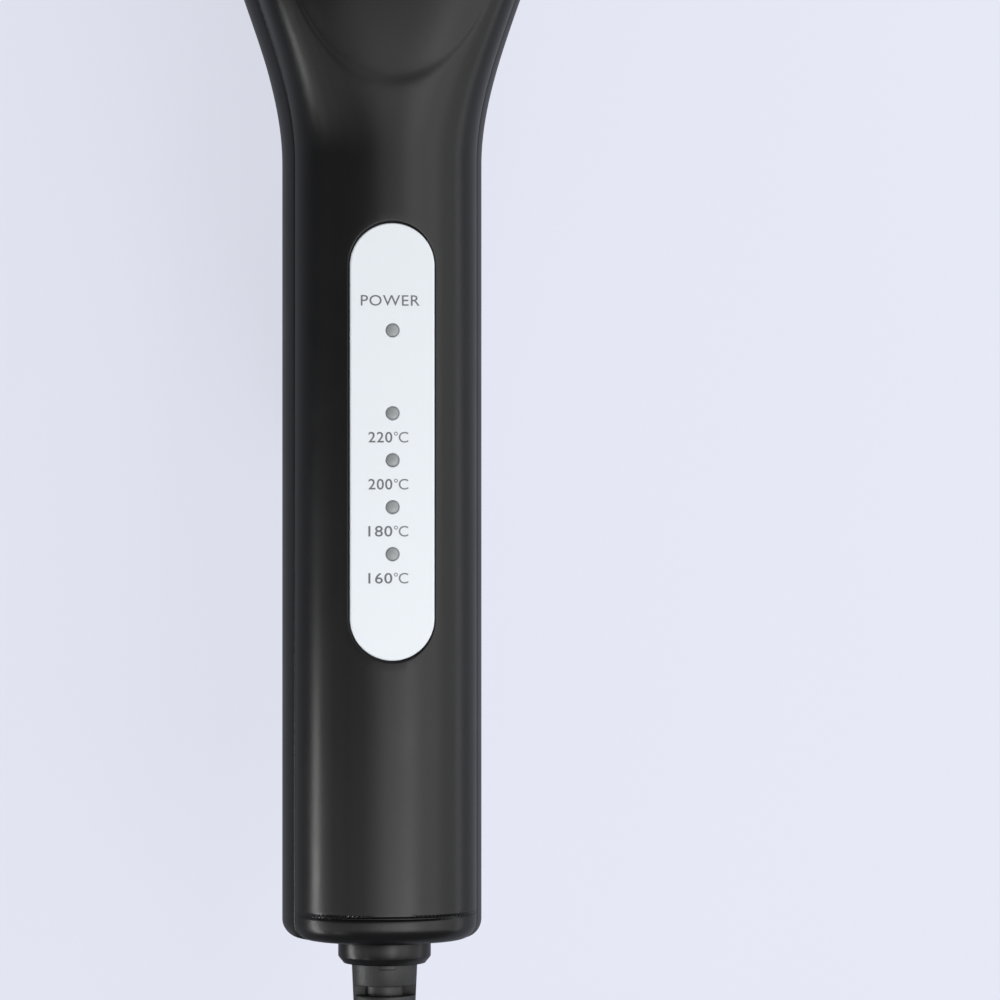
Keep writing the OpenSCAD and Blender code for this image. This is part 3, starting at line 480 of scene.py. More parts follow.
class Wiring:
    """Makes and links the nodes of one tree."""

    def __init__(self, tree: Any) -> None:
        self.tree = tree
        tree.nodes.clear()

    def node(self, kind: str, **values: Any) -> Any:
        """Adds a node.

        Args:
            kind: its type.
            values: in_X is the value of its input X or the socket linked to it. Any other name
                is one of its own settings.

        Returns:
            The node.
        """
        node = self.tree.nodes.new(kind)
        for name, value in values.items():
            if not name.startswith("in_"):
                setattr(node, name, value)
                continue
            key = name[3:]
            socket = node.inputs[int(key) if key.isdigit() else key.replace("_", " ")]
            if isinstance(value, bpy.types.NodeSocket):
                self.tree.links.new(value, socket)
            else:
                socket.default_value = value
        return node

    def place(self) -> Any:
        """The socket that gives the place on the object."""
        return self.node("ShaderNodeTexCoord").outputs["Object"]

    def math(self, operation: str, first: Any, second: Any, **values: Any) -> Any:
        """The socket of a sum or product of two values or sockets."""
        return self.node("ShaderNodeMath", operation=operation, in_0=first, in_1=second,
                         **values).outputs[0]

    def mixed(self, share: Any, first: Any, second: Any) -> Any:
        """A node that mixes two shader nodes, by the share of the second."""
        return self.node("ShaderNodeMixShader", in_0=share, in_1=first.outputs[0],
                         in_2=second.outputs[0])


def group_tree(name: str, inputs: dict[str, float], outputs: Iterable[str]) -> tuple[Wiring, Any]:
    """Starts a shader node group.

    Args:
        name: its name.
        inputs: its number inputs and their values.
        outputs: its number outputs.

    Returns:
        Its wiring, and the sockets of its inputs.
    """
    tree = bpy.data.node_groups.new(name, "ShaderNodeTree")
    for key, value in inputs.items():
        socket = tree.interface.new_socket(key, in_out="INPUT", socket_type="NodeSocketFloat")
        socket.default_value = value
    for key in outputs:
        tree.interface.new_socket(key, in_out="OUTPUT", socket_type="NodeSocketFloat")
    wiring = Wiring(tree)
    return wiring, wiring.node("NodeGroupInput").outputs


@lru_cache(None)
def grain_group() -> Any:
    """Spark-eroded grain of a mould: fine rounded pits in two sizes, as a height and a mask."""
    w, given = group_tree("mould_grain", {"Per metre": 3000.0, "Coarse share": 0.35},
                          ("Height", "Mask"))
    place, scale = w.place(), given["Per metre"]
    fine = w.node("ShaderNodeTexNoise", in_Vector=place, in_Scale=scale, in_Detail=2.0,
                  in_Roughness=0.6)
    pits = w.node("ShaderNodeTexVoronoi", feature="SMOOTH_F1", in_Vector=place,
                  in_Scale=w.math("MULTIPLY", scale, 0.45), in_Smoothness=0.6)
    mix = w.node("ShaderNodeMix", data_type="FLOAT", in_Factor=given["Coarse share"],
                 in_A=fine.outputs["Fac"], in_B=pits.outputs["Distance"])
    w.node("NodeGroupOutput", in_Height=mix.outputs["Result"], in_Mask=fine.outputs["Fac"])
    return w.tree


@lru_cache(None)
def handling_group() -> Any:
    """Broad soft patches left by hands and wiping, as a mask from 0 to 1."""
    w, given = group_tree("handling", {"Per metre": 60.0, "Contrast": 1.6}, ("Mask",))
    cloud = w.node("ShaderNodeTexNoise", in_Vector=w.place(), in_Scale=given["Per metre"],
                   in_Detail=4.0, in_Roughness=0.55, in_Distortion=0.4)
    strong = w.math("MULTIPLY", w.math("SUBTRACT", cloud.outputs["Fac"], 0.5), given["Contrast"])
    w.node("NodeGroupOutput", in_Mask=w.math("ADD", strong, 0.5, use_clamp=True))
    return w.tree


@lru_cache(None)
def brushed_group() -> Any:
    """Fine parallel lines along the handle, as a height and a mask."""
    w, given = group_tree("brushed", {"Per metre": 900.0}, ("Height", "Mask"))
    stretch = w.node("ShaderNodeMapping", in_Vector=w.place(), in_Scale=(6.0, 0.12, 6.0))
    lines = w.node("ShaderNodeTexNoise", in_Vector=stretch.outputs["Vector"],
                   in_Scale=given["Per metre"], in_Detail=3.0, in_Roughness=0.65)
    w.node("NodeGroupOutput", in_Height=lines.outputs["Fac"], in_Mask=lines.outputs["Fac"])
    return w.tree


Colour = tuple[float, float, float]


@dataclass(frozen=True)
class Finish:
    """A surface with grain, patches of handling, and a shift of colour between them.

    The grain's size and depth are in millimetres.
    """

    name: str
    colour: Colour
    worn: Colour
    roughness: Flat = (0.4, 0.5)
    grain: float = 0.35
    depth: float = 0.01
    coarse: float = 0.35
    patches: float = 60.0
    metallic: float = 0.0
    specular: float = 0.5
    coat: float = 0.0
    coat_roughness: float = 0.2
    brushed: bool = False

    def material(self) -> Any:
        """The finish as a material, made once."""
        return dressed(self)


@lru_cache(None)
def dressed(finish: Finish) -> Any:
    """Builds the material of a finish."""
    material = bpy.data.materials.new(finish.name)
    material.use_nodes = True
    w = Wiring(material.node_tree)
    grain = w.node("ShaderNodeGroup",
                   node_tree=brushed_group() if finish.brushed else grain_group(),
                   in_Per_metre=1 / (finish.grain * MM))
    if not finish.brushed:
        grain.inputs["Coarse share"].default_value = finish.coarse
    hands = w.node("ShaderNodeGroup", node_tree=handling_group(),
                   in_Per_metre=finish.patches).outputs["Mask"]
    both = w.math("MULTIPLY", grain.outputs["Mask"], hands)
    blend = w.node("ShaderNodeMix", data_type="RGBA", in_Factor=both,
                   in_A=(*finish.colour, 1), in_B=(*finish.worn, 1))
    rough = w.node("ShaderNodeMapRange", in_Value=hands, in_To_Min=finish.roughness[0],
                   in_To_Max=finish.roughness[1])
    bump = w.node("ShaderNodeBump", in_Height=grain.outputs["Height"], in_Strength=1.0,
                  in_Distance=finish.depth * MM)
    shader = w.node("ShaderNodeBsdfPrincipled", in_Base_Color=blend.outputs["Result"],
                    in_Roughness=rough.outputs["Result"], in_Normal=bump.outputs["Normal"],
                    in_Metallic=finish.metallic, in_Specular_IOR_Level=finish.specular,
                    in_Coat_Weight=finish.coat, in_Coat_Roughness=finish.coat_roughness)
    w.node("ShaderNodeOutputMaterial", in_Surface=shader.outputs["BSDF"])
    return material


SATIN = Finish("black_satin_moulding", (0.0040, 0.0040, 0.0045), (0.0068, 0.0068, 0.0074),
               (0.27, 0.34), grain=0.32, depth=0.011, specular=0.26)
HEATPROOF = Finish("heatproof_moulding", (0.016, 0.016, 0.017), (0.024, 0.024, 0.025),
                   (0.5, 0.6), grain=0.4, depth=0.016, specular=0.4)
LACQUER = Finish("silver_lacquer", (0.645, 0.68, 0.715), (0.67, 0.705, 0.74), (0.34, 0.42),
                 grain=0.12, depth=0.0015, patches=40.0, metallic=0.05, specular=0.4, coat=0.1)
INK = Finish("grey_print", (0.1, 0.105, 0.115), (0.15, 0.155, 0.165), (0.5, 0.6), grain=0.1,
             depth=0.001)
THIN_INK = Finish("light_grey_print", (0.15, 0.155, 0.165), (0.2, 0.205, 0.215), (0.5, 0.6),
                  grain=0.1, depth=0.001)
WINDOW = Finish("smoky_window", (0.2, 0.21, 0.215), (0.3, 0.31, 0.315), (0.22, 0.3), grain=0.35,
                depth=0.006, coarse=0.8, specular=0.5)
EPOXY = Finish("clear_epoxy", (0.75, 0.74, 0.68), (0.82, 0.81, 0.76), (0.1, 0.2), grain=0.5,
               depth=0.002, specular=0.6)
SOLDER_MASK = Finish("green_board", (0.02, 0.12, 0.05), (0.05, 0.2, 0.09), (0.3, 0.45),
                     grain=1.2, depth=0.01, coarse=0.8, patches=300.0, coat=0.3)
ZINC = Finish("zinc_plated_steel", (0.5, 0.51, 0.53), (0.62, 0.62, 0.62), (0.25, 0.42),
              grain=0.2, depth=0.004, patches=220.0, metallic=1.0)
CHROME = Finish("bright_plating", (0.82, 0.83, 0.85), (0.88, 0.88, 0.89), (0.06, 0.12),
                grain=0.3, depth=0.0006, patches=150.0, metallic=1.0)
FILM = Finish("white_film", (0.84, 0.85, 0.87), (0.88, 0.885, 0.9), (0.45, 0.55), grain=0.2,
              depth=0.002, specular=0.4)
COATING = Finish("coated_aluminium", (0.13, 0.075, 0.055), (0.19, 0.115, 0.085), (0.22, 0.34),
                 grain=0.25, depth=0.002, patches=90.0, metallic=0.55, coat=0.5,
                 coat_roughness=0.15, brushed=True)
CERAMIC = Finish("white_ceramic", (0.78, 0.76, 0.71), (0.86, 0.84, 0.8), (0.4, 0.6), grain=0.3,
                 depth=0.006)
TIN = Finish("tinned_case", (0.55, 0.55, 0.56), (0.68, 0.68, 0.68), (0.2, 0.35), grain=0.3,
             depth=0.003, metallic=1.0)
BRASS = Finish("plain_brass", (0.62, 0.42, 0.15), (0.75, 0.55, 0.24), (0.2, 0.38), grain=0.25,
               depth=0.003, patches=180.0, metallic=1.0)
GLASS_SLEEVE = Finish("woven_glass_sleeve", (0.66, 0.63, 0.56), (0.8, 0.77, 0.7), (0.6, 0.75),
                      grain=0.5, depth=0.05, coarse=0.9)
RUBBER = Finish("black_cord_rubber", (0.013, 0.013, 0.0135), (0.022, 0.022, 0.0225),
                (0.42, 0.55), grain=0.5, depth=0.01, patches=90.0, specular=0.4)
NICKEL = Finish("nickel_plating", (0.66, 0.65, 0.62), (0.76, 0.75, 0.73), (0.12, 0.24),
                grain=0.2, depth=0.001, patches=200.0, metallic=1.0)
STRAP = Finish("woven_strap", (0.014, 0.014, 0.015), (0.035, 0.035, 0.037), (0.7, 0.85),
               grain=0.6, depth=0.12, coarse=0.7, specular=0.3)

FINISHES: dict[Slot, Finish] = {
    Slot.SHELL: SATIN, Slot.FRAME: HEATPROOF, Slot.PANEL: LACQUER, Slot.LENS: WINDOW,
    Slot.LED: EPOXY, Slot.BOARD: SOLDER_MASK, Slot.STEEL: ZINC, Slot.BEZEL: CHROME,
    Slot.PAPER: FILM, Slot.PLATE: COATING, Slot.CERAMIC: CERAMIC, Slot.FUSE: TIN,
    Slot.BRASS: BRASS, Slot.SLEEVE: GLASS_SLEEVE, Slot.CORD: RUBBER, Slot.PINS: NICKEL}


def piece(name: str, bm: BMesh, finish: Finish, body: Body,
          replaces: Sequence[str] = (), move: Optional[Matrix] = None,
          sharp: float = 38.0) -> Any:
    """Makes a mesh an object of the scene, on its body.

    Args:
        name: the object's name.
        bm: its mesh, which is freed.
        finish: its finish.
        body: the body it rides on.
        replaces: the CAD nodes it stands for.
        move: where the mesh goes; the handle's placement by default.
        sharp: edges over this many degrees stay sharp.

    Returns:
        The object.
    """
    bm.transform(PLACE.matrix() if move is None else move)
    skin_with(bm, sharp)
    mesh = mesh_of(bm, name)
    made = placed(name, mesh)
    mesh.materials.append(finish.material())
    if replaces:
        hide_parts(*replaces)
    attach(made, body.value)
    LOG.info("%s: %d faces, %s, on %s", name, len(mesh.polygons), finish.name, body.value)
    return made


# The casing: handle and front jaw's cover in two shells

CAP_ROWS = 5
CAP_PITCH = 2.2


@dataclass(frozen=True)
class CasingForm:
    """The outer form that both shells share, as sections across the handle.

    A section runs from the middle of the flat back to the middle of the crown. Its way is told by
    a number: 0 to 1 over the flat, to 2 round the edge, to 3 up the side, to 4 over the crown.
    """

    handle_w: float = 37.0
    handle_d: float = 26.5
    seam: float = 13.2
    shoulder: float = 1.7
    back_r: float = 5.0
    wall: float = 2.2
    tail_r: float = 3.2
    tail_wall: float = 2.6
    step_at: float = 5.4
    step_drop: float = 0.9
    step_groove: float = 0.45
    length: float = 322.0
    head_w: float = 66.0
    head_rise: float = 2.0
    rise_l: float = 33.0
    flare_from: float = 143.0
    flare_to: float = 204.5
    tip_r: float = 22.0
    nose_r: float = 12.0
    crown_base: float = 8.0
    neck_r: float = 5.05
    cord_n: float = 10.5
    lip: float = 0.28

    def tail_edge(self, a: float) -> float:
        """Draw-in of the round edge of the cord end."""
        return eased(self.tail_r, self.tail_r - a)

    def half_w(self, a: float, inset: float) -> float:
        """Half width at a."""
        flare = smooth((a - self.flare_from) / (self.flare_to - self.flare_from))
        return (self.handle_w / 2 + (self.head_w - self.handle_w) / 2 * flare - inset
                - eased(self.tip_r - inset, a - (self.length - self.tip_r)) - self.tail_edge(a))

    def step(self, a: float) -> float:
        """Drop of the crown at the cord end, with the groove at the foot of its step."""
        ramp = 0.3
        drop = self.step_drop * (1 - smooth((a - self.step_at + ramp) / ramp))
        return drop + self.step_groove * math.exp(-((a - self.step_at + 0.55) / 0.27) ** 2)

    def crown(self, a: float, inset: float) -> float:
        """Height of the crown at a."""
        rise = self.head_rise * smooth((a - self.flare_from) / self.rise_l)
        step = self.step(a) if inset < self.wall else self.step_drop * (a < self.step_at)
        return (self.handle_d + rise - step - inset
                - eased(self.nose_r - inset, a - (self.length - self.nose_r)) - self.tail_edge(a))

    def power(self, a: float) -> float:
        """Power of the crown's curve: the head is squarer than the handle."""
        return 2 / (2.4 + 1.6 * smooth((a - self.flare_from) / self.rise_l))

    def spot(self, a: float, way: float, inset: float = 0.0) -> Flat:
        """The x and n of a section at a way, drawn in by an inset."""
        w, low = self.half_w(a, inset), inset + self.tail_edge(a)
        r = max(self.back_r - inset, 1.0)
        if way <= 1:
            return (w - r) * way, low
        if way <= 2:
            turn = math.radians(90 * (way - 1))
            return w - r + r * math.sin(turn), low + r - r * math.cos(turn)
        if way <= 3:
            t = way - 2
            return w - self.shoulder * t * t, low + r + (self.seam - low - r) * t
        rise, e = self.crown(a, inset) - self.crown_base, self.power(a)
        first = math.asin(((self.seam - self.crown_base) / rise) ** (1 / e))
        turn = first + (math.pi / 2 - first) * min(way - 3, 1.0)
        reach = (w - self.shoulder) / math.cos(first) ** e
        return (reach * max(0.0, math.cos(turn)) ** e,
                self.crown_base + rise * math.sin(turn) ** e)

    def crown_way(self, a: float, x: float, inset: float = 0.0) -> float:
        """The way at which the crown is x from the middle."""
        rise, e = self.crown(a, inset) - self.crown_base, self.power(a)
        first = math.asin(((self.seam - self.crown_base) / rise) ** (1 / e))
        reach = (self.half_w(a, inset) - self.shoulder) / math.cos(first) ** e
        turn = math.acos(min(1.0, (abs(x) / reach) ** (1 / e)))
        return 3 + (turn - first) / (math.pi / 2 - first)

    def side_way(self, a: float, n: float) -> float:
        """The way at which the side is n high."""
        low = self.tail_edge(a) + self.back_r
        return 2 + (n - low) / (self.seam - low)

    @lru_cache(None)
    def lengths(self, a: float) -> tuple[np.ndarray, np.ndarray]:
        """Ways along a section, and the length up to each from the middle of the back."""
        even = [k / 12 for k in range(37)]
        wide = self.spot(a, 3.0)[0]
        crown = [3 + k / 40 for k in range(1, 41)]
        crown += [self.crown_way(a, wide * k / 40) for k in range(1, 40)]
        ways = np.array(sorted({*even, *(round(w, 6) for w in crown if 3 < w <= 4)}))
        spots = np.array([self.spot(a, w) for w in ways])
        steps = np.hypot(*np.diff(spots, axis=0).T)
        return ways, np.concatenate([[0.0], np.cumsum(steps)])

    def way(self, a: float, length: float) -> float:
        """The way at a length from the middle of the back."""
        ways, lengths = self.lengths(a)
        return float(np.interp(length, lengths, ways))

    def length_at(self, a: float, way: float) -> float:
        """The length from the middle of the back to a way."""
        ways, lengths = self.lengths(a)
        return float(np.interp(way, ways, lengths))

    def whole(self, a: float) -> float:
        """The length of half a section."""
        return float(self.lengths(a)[1][-1])

    def inner_a(self, a: float) -> float:
        """Where the inner layer lies for a of the outer one, clear of the end walls."""
        near = 6.0
        tip = self.length - self.tip_r
        if a < near:
            return self.tail_wall + max(a, 0.0) / near * (near - self.tail_wall)
        if a > tip:
            return tip + (min(a, self.length) - tip) * (self.tip_r - self.wall) / self.tip_r
        return a

    def drawn_in(self, rim: float) -> float:
        """Draw-in of the rounded lip of a rim, at a distance from it."""
        return eased(self.lip, self.lip - rim)

    def hole_start(self) -> float:
        """Angle at which the seam meets that hole."""
        return math.asin((self.seam - self.cord_n) / self.neck_r)

    def lip_steps(self) -> list[float]:
        """Distances from a rim at which its lip has points."""
        return [self.lip * part for part in (0.12, 0.35, 0.65, 1.0)]

    def tail_rows(self) -> list[float]:
        """Stations of the cord end: the rows of its wall, below 0, and its round edge."""
        wall = [-CAP_PITCH * k for k in range(CAP_ROWS, 0, -1)]
        return wall + [self.tail_r * (1 - math.cos(math.radians(t))) for t in range(0, 91, 9)]

    def towards_hole(self, spot: Flat, a: float, turn: float) -> Flat:
        """Moves a point of the cord end's wall towards the hole for the swivel's neck.

        Args:
            spot: its x and n at the casing's edge.
            a: its row.
            turn: the angle from +x at which it would reach the hole.

        Returns:
            Its x and n.
        """
        share = -a / (CAP_ROWS * CAP_PITCH)
        hole = (self.neck_r * math.cos(turn), self.cord_n + self.neck_r * math.sin(turn))
        return spot[0] + (hole[0] - spot[0]) * share, spot[1] + (hole[1] - spot[1]) * share


FORM = CasingForm()


def mirrored(half: Sequence[float]) -> list[float]:
    """Values from minus the largest to the largest, through zero."""
    return [-v for v in reversed(half)] + [0.0] + list(half)


@dataclass(frozen=True)
class FrontShell:
    """The lid of the handle, which widens into the front jaw's cover."""

    form: CasingForm = FORM
    split: float = 197.5
    rim: float = 5.5
    sunk_from: float = 156.6
    sunk_w: float = 43.0
    sunk_round: float = 36.0
    sunk_margin: float = 9.0
    sunk: float = 0.34
    step_half: float = 0.55
    fade_half: float = 1.3
    fade_l: float = 10.0
    pocket_floor: float = 24.95
    pocket_gap: float = 0.25
    columns: int = 30
    side_columns: int = 5

    def rows(self) -> list[float]:
        """Stations along the shell, with the rows of its two end walls beyond them."""
        form = self.form
        step = [4.0, 4.3, 4.5, 4.65, 4.8, 4.9, 5.0, 5.08, 5.16, 5.24, 5.32, 5.4, 5.6, 6.0]
        tip = form.length - form.tip_r
        middle = [*spread(6.0, form.flare_from, 1.25), *spread(form.flare_from, self.split, 1.1),
                  *(self.split + d for d in form.lip_steps()), *spread(self.split + 0.6, tip, 1.5)]
        nose = [tip + form.tip_r * math.sin(math.radians(t)) for t in range(4, 91, 4)]
        wall = [form.length + CAP_PITCH * k for k in range(1, CAP_ROWS + 1)]
        return [*form.tail_rows(), *step, *middle, *nose, form.length, *wall]

    def clamped(self, a: float) -> float:
        """The station that a row belongs to."""
        return min(max(a, 0.0), self.form.length)

    def seam_u(self, a: float) -> float:
        """Distance from the crown's middle to the seam's height, along the section."""
        a = self.clamped(a)
        return self.form.whole(a) - self.form.length_at(a, 3.0)

    def rim_u(self, a: float) -> float:
        """Distance from the crown's middle to the shell's rim, along the section."""
        if a < self.split:
            return self.seam_u(a)
        a = self.clamped(a)
        return self.form.whole(a) - self.form.length_at(a, self.form.side_way(a, self.rim))

    def half_row(self, a: float, deep: bool) -> list[float]:
        """Distances from the middle at which a row has points, up to and with the rim."""
        seam, rim = self.seam_u(a), self.rim_u(a)
        lips = [rim - d for d in self.form.lip_steps()]
        values = [seam * k / self.columns for k in range(1, self.columns)]
        if deep:
            side = rim - seam
            values += [seam + side * k / self.side_columns for k in range(self.side_columns)]
        values = [v for v in values if v < lips[-1] - 0.3]
        return sorted([*values, *lips, rim])

    def border(self) -> list[Flat]:
        """The shell's rim and its two ends, as one closed line."""
        rows = self.rows()
        right = [(self.rim_u(a), a) for a in rows if a < self.split]
        deep = self.half_row(self.split, True)
        right += [(u, self.split) for u in [self.seam_u(self.split)]
                  + [v for v in deep if v > self.seam_u(self.split) + 0.05]]
        right += [(self.rim_u(a), a) for a in rows if a > self.split]
        last = [(u, rows[-1]) for u in reversed(mirrored(self.half_row(rows[-1], True))[1:-1])]
        left = [(-u, a) for u, a in reversed(right)]
        first = [(u, rows[0]) for u in mirrored(self.half_row(rows[0], False))[1:-1]]
        return right + last + left + first

    def seeds(self) -> list[Flat]:
        """Points inside the border."""
        found = []
        for a in self.rows()[1:-1]:
            row = mirrored(self.half_row(a, a > self.split))[1:-1]
            if a == self.split:
                row = [u for u in mirrored(self.half_row(a, True)) if abs(u) < self.seam_u(a) - .05]
            found += [(u, a) for u in row]
        return found

    def on_crown(self, points: Sequence[Flat]) -> list[Flat]:
        """Points seen from the front, unrolled over the crown."""
        unrolled = []
        for x, a in points:
            way = self.form.crown_way(a, x)
            u = self.form.whole(a) - self.form.length_at(a, way)
            unrolled.append((math.copysign(u, x), a))
        return unrolled

    def sunk_outline(self, share: float) -> list[Flat]:
        """Outline of the sunk panel, moved by a share of its edge's half width.

        The edge is crisp along the head and widens and fades towards the round end's tip.
        """
        centre = self.sunk_from + self.sunk_round
        straight_to = self.form.length - self.sunk_margin - self.sunk_w / 2
        half = self.sunk_w / 2
        points, outward = [], []
        for k in range(97):
            turn = math.pi + math.pi * k / 96
            points.append((half * math.cos(turn), centre + self.sunk_round * math.sin(turn)))
            outward.append(Vector((math.cos(turn) / half, math.sin(turn) / self.sunk_round)))
        for a in spread(centre, straight_to, 1.5)[:-1]:
            points.append((half, a))
            outward.append(Vector((1, 0)))
        for k in range(45):
            turn = math.pi * k / 44
            points.append((half * math.cos(turn), straight_to + half * math.sin(turn)))
            outward.append(Vector((math.cos(turn), math.sin(turn))))
        for a in spread(straight_to, centre, 1.5)[:-1]:
            points.append((-half, a))
            outward.append(Vector((-1, 0)))
        moved = []
        for (x, a), way in zip(points, outward):
            fade = smooth((self.sunk_from + self.fade_l - a) / self.fade_l)
            d = share * (self.step_half + (self.fade_half - self.step_half) * fade)
            way = way.normalized() * d
            moved.append((x + way.x, a + way.y))
        return moved

    def features(self, panel: "IndicatorPanel") -> list[Feature]:
        """The sunk panel on the head and the pocket of the indicator panel."""
        shares = (1.0, 0.6, 0.25, 0.0, -0.25, -0.6, -1.0)
        sunk = [Ring(self.on_crown(self.sunk_outline(s)),
                     Mark(sink=self.sunk * (1 - smooth((s + 1) / 2)))) for s in shares]
        radius, straight = panel.width / 2 + self.pocket_gap, (panel.length - panel.width) / 2

        def pocket(grow: float, mark: Mark) -> Ring:
            return Ring(self.on_crown(stadium(radius + grow, straight, panel.centre)), mark)

        rings = [pocket(0.4, Mark()), pocket(0.2, Mark(sink=0.03)), pocket(0.08, Mark(sink=0.1)),
                 pocket(0.0, Mark(sink=0.22)), pocket(-0.02, Mark(outer=self.pocket_floor))]
        return [Feature(sunk, Mark(sink=self.sunk), clear=0.75), Feature(rings, clear=0.6)]

    def bent(self, u: float, a: float, sink: float, height: float, under: bool) -> Vector:
        """Bends a point of the sheet to the casing's form, or into its end walls."""
        form, own = self.form, self.clamped(a)
        rim = self.rim_u(a) - abs(u)
        if a > self.split:
            rim = min(rim, max(a - self.split, 0.0)) if abs(u) > self.seam_u(own) + 0.02 else rim
        inset = form.wall if under else sink + (form.drawn_in(rim) if 0 <= a <= form.length else 0)
        at = form.inner_a(own) if under else own
        way = form.way(own, form.whole(own) - abs(u))
        if a < self.split:
            way = max(way, 3.0)
        x, n = form.spot(at, way, inset)
        x = math.copysign(x, u)
        if a < 0:
            turn = math.pi / 2 - u / self.seam_u(0.0) * (math.pi / 2 - form.hole_start())
            x, n = form.towards_hole((x, n), a, turn)
        elif a > form.length:
            n += (self.rim - n) * (a - form.length) / (CAP_ROWS * CAP_PITCH)
        return Vector((x, at, n if height == FREE else height))

    def build(self, panel: "IndicatorPanel") -> None:
        """Makes the shell, with its inner posts and the cheeks that hold the hinge pin."""
        bm = Sheet.drawn(self.border(), self.features(panel), self.seeds()).bent(self.bent)
        for side in (-1, 1):
            self.cheek(bm, side)
        for x, a, radius, low in POSTS:
            self.post(bm, (x, a), radius, low)
        piece("front_shell_moulding", bm, SATIN, Body.HANDLE, ["front_shell"])

    def post(self, bm: BMesh, centre: Flat, radius: float, low: float) -> None:
        """Adds a post that ends inside the wall, whatever the crown's slope."""
        part = bmesh.new()
        high = 100.0
        turned(part, [(0.0, low), (radius, low), (radius, high), (0.0, high)],
               Matrix.Translation((*centre, 0)), 24)
        for vert in part.verts:
            if vert.co.z > high / 2:
                x, a, _ = vert.co
                inset = self.form.wall / 2
                vert.co.z = self.form.spot(a, self.form.crown_way(a, x, inset), inset)[1]
                vert.co.z -= self.sunk if a > self.sunk_from else 0.0
        merge_into(bm, part)

    def cheek(self, bm: BMesh, side: int) -> None:
        """Adds the cheek that holds one end of the hinge pin."""
        half, radius, top, inner_x, thick = 4.5, 5.5, 25.0, 17.0, 4.0
        arc = rounded(radius, PIVOT, 180 + 35, 360 - 35, 12)
        outline = [(PIVOT[0] + half, top), (PIVOT[0] - half, top), *arc]
        points = [(side * inner_x, a, n) for a, n in outline]
        prism(bm, points, Vector((side * thick, 0, 0)), 0.3)


SCREW_ROWS = (65.0, 152.0)
SCREW_X = 9.2
HANDLE_SCREWS = tuple((side * SCREW_X, a) for a in SCREW_ROWS for side in (-1, 1))
BOARD_SCREWS = ((-9.2, 83.75), (9.2, 106.7))
FRAME_SCREWS = ((-19.0, 203.4), (19.0, 203.4), (-12.0, 314.0), (12.0, 314.0))
POSTS = (*((x, a, 3.6, 11.2) for x, a in HANDLE_SCREWS),
         *((x, a, 2.6, 16.6) for x, a in BOARD_SCREWS),
         *((x, a, 3.1, 9.8) for x, a in FRAME_SCREWS))


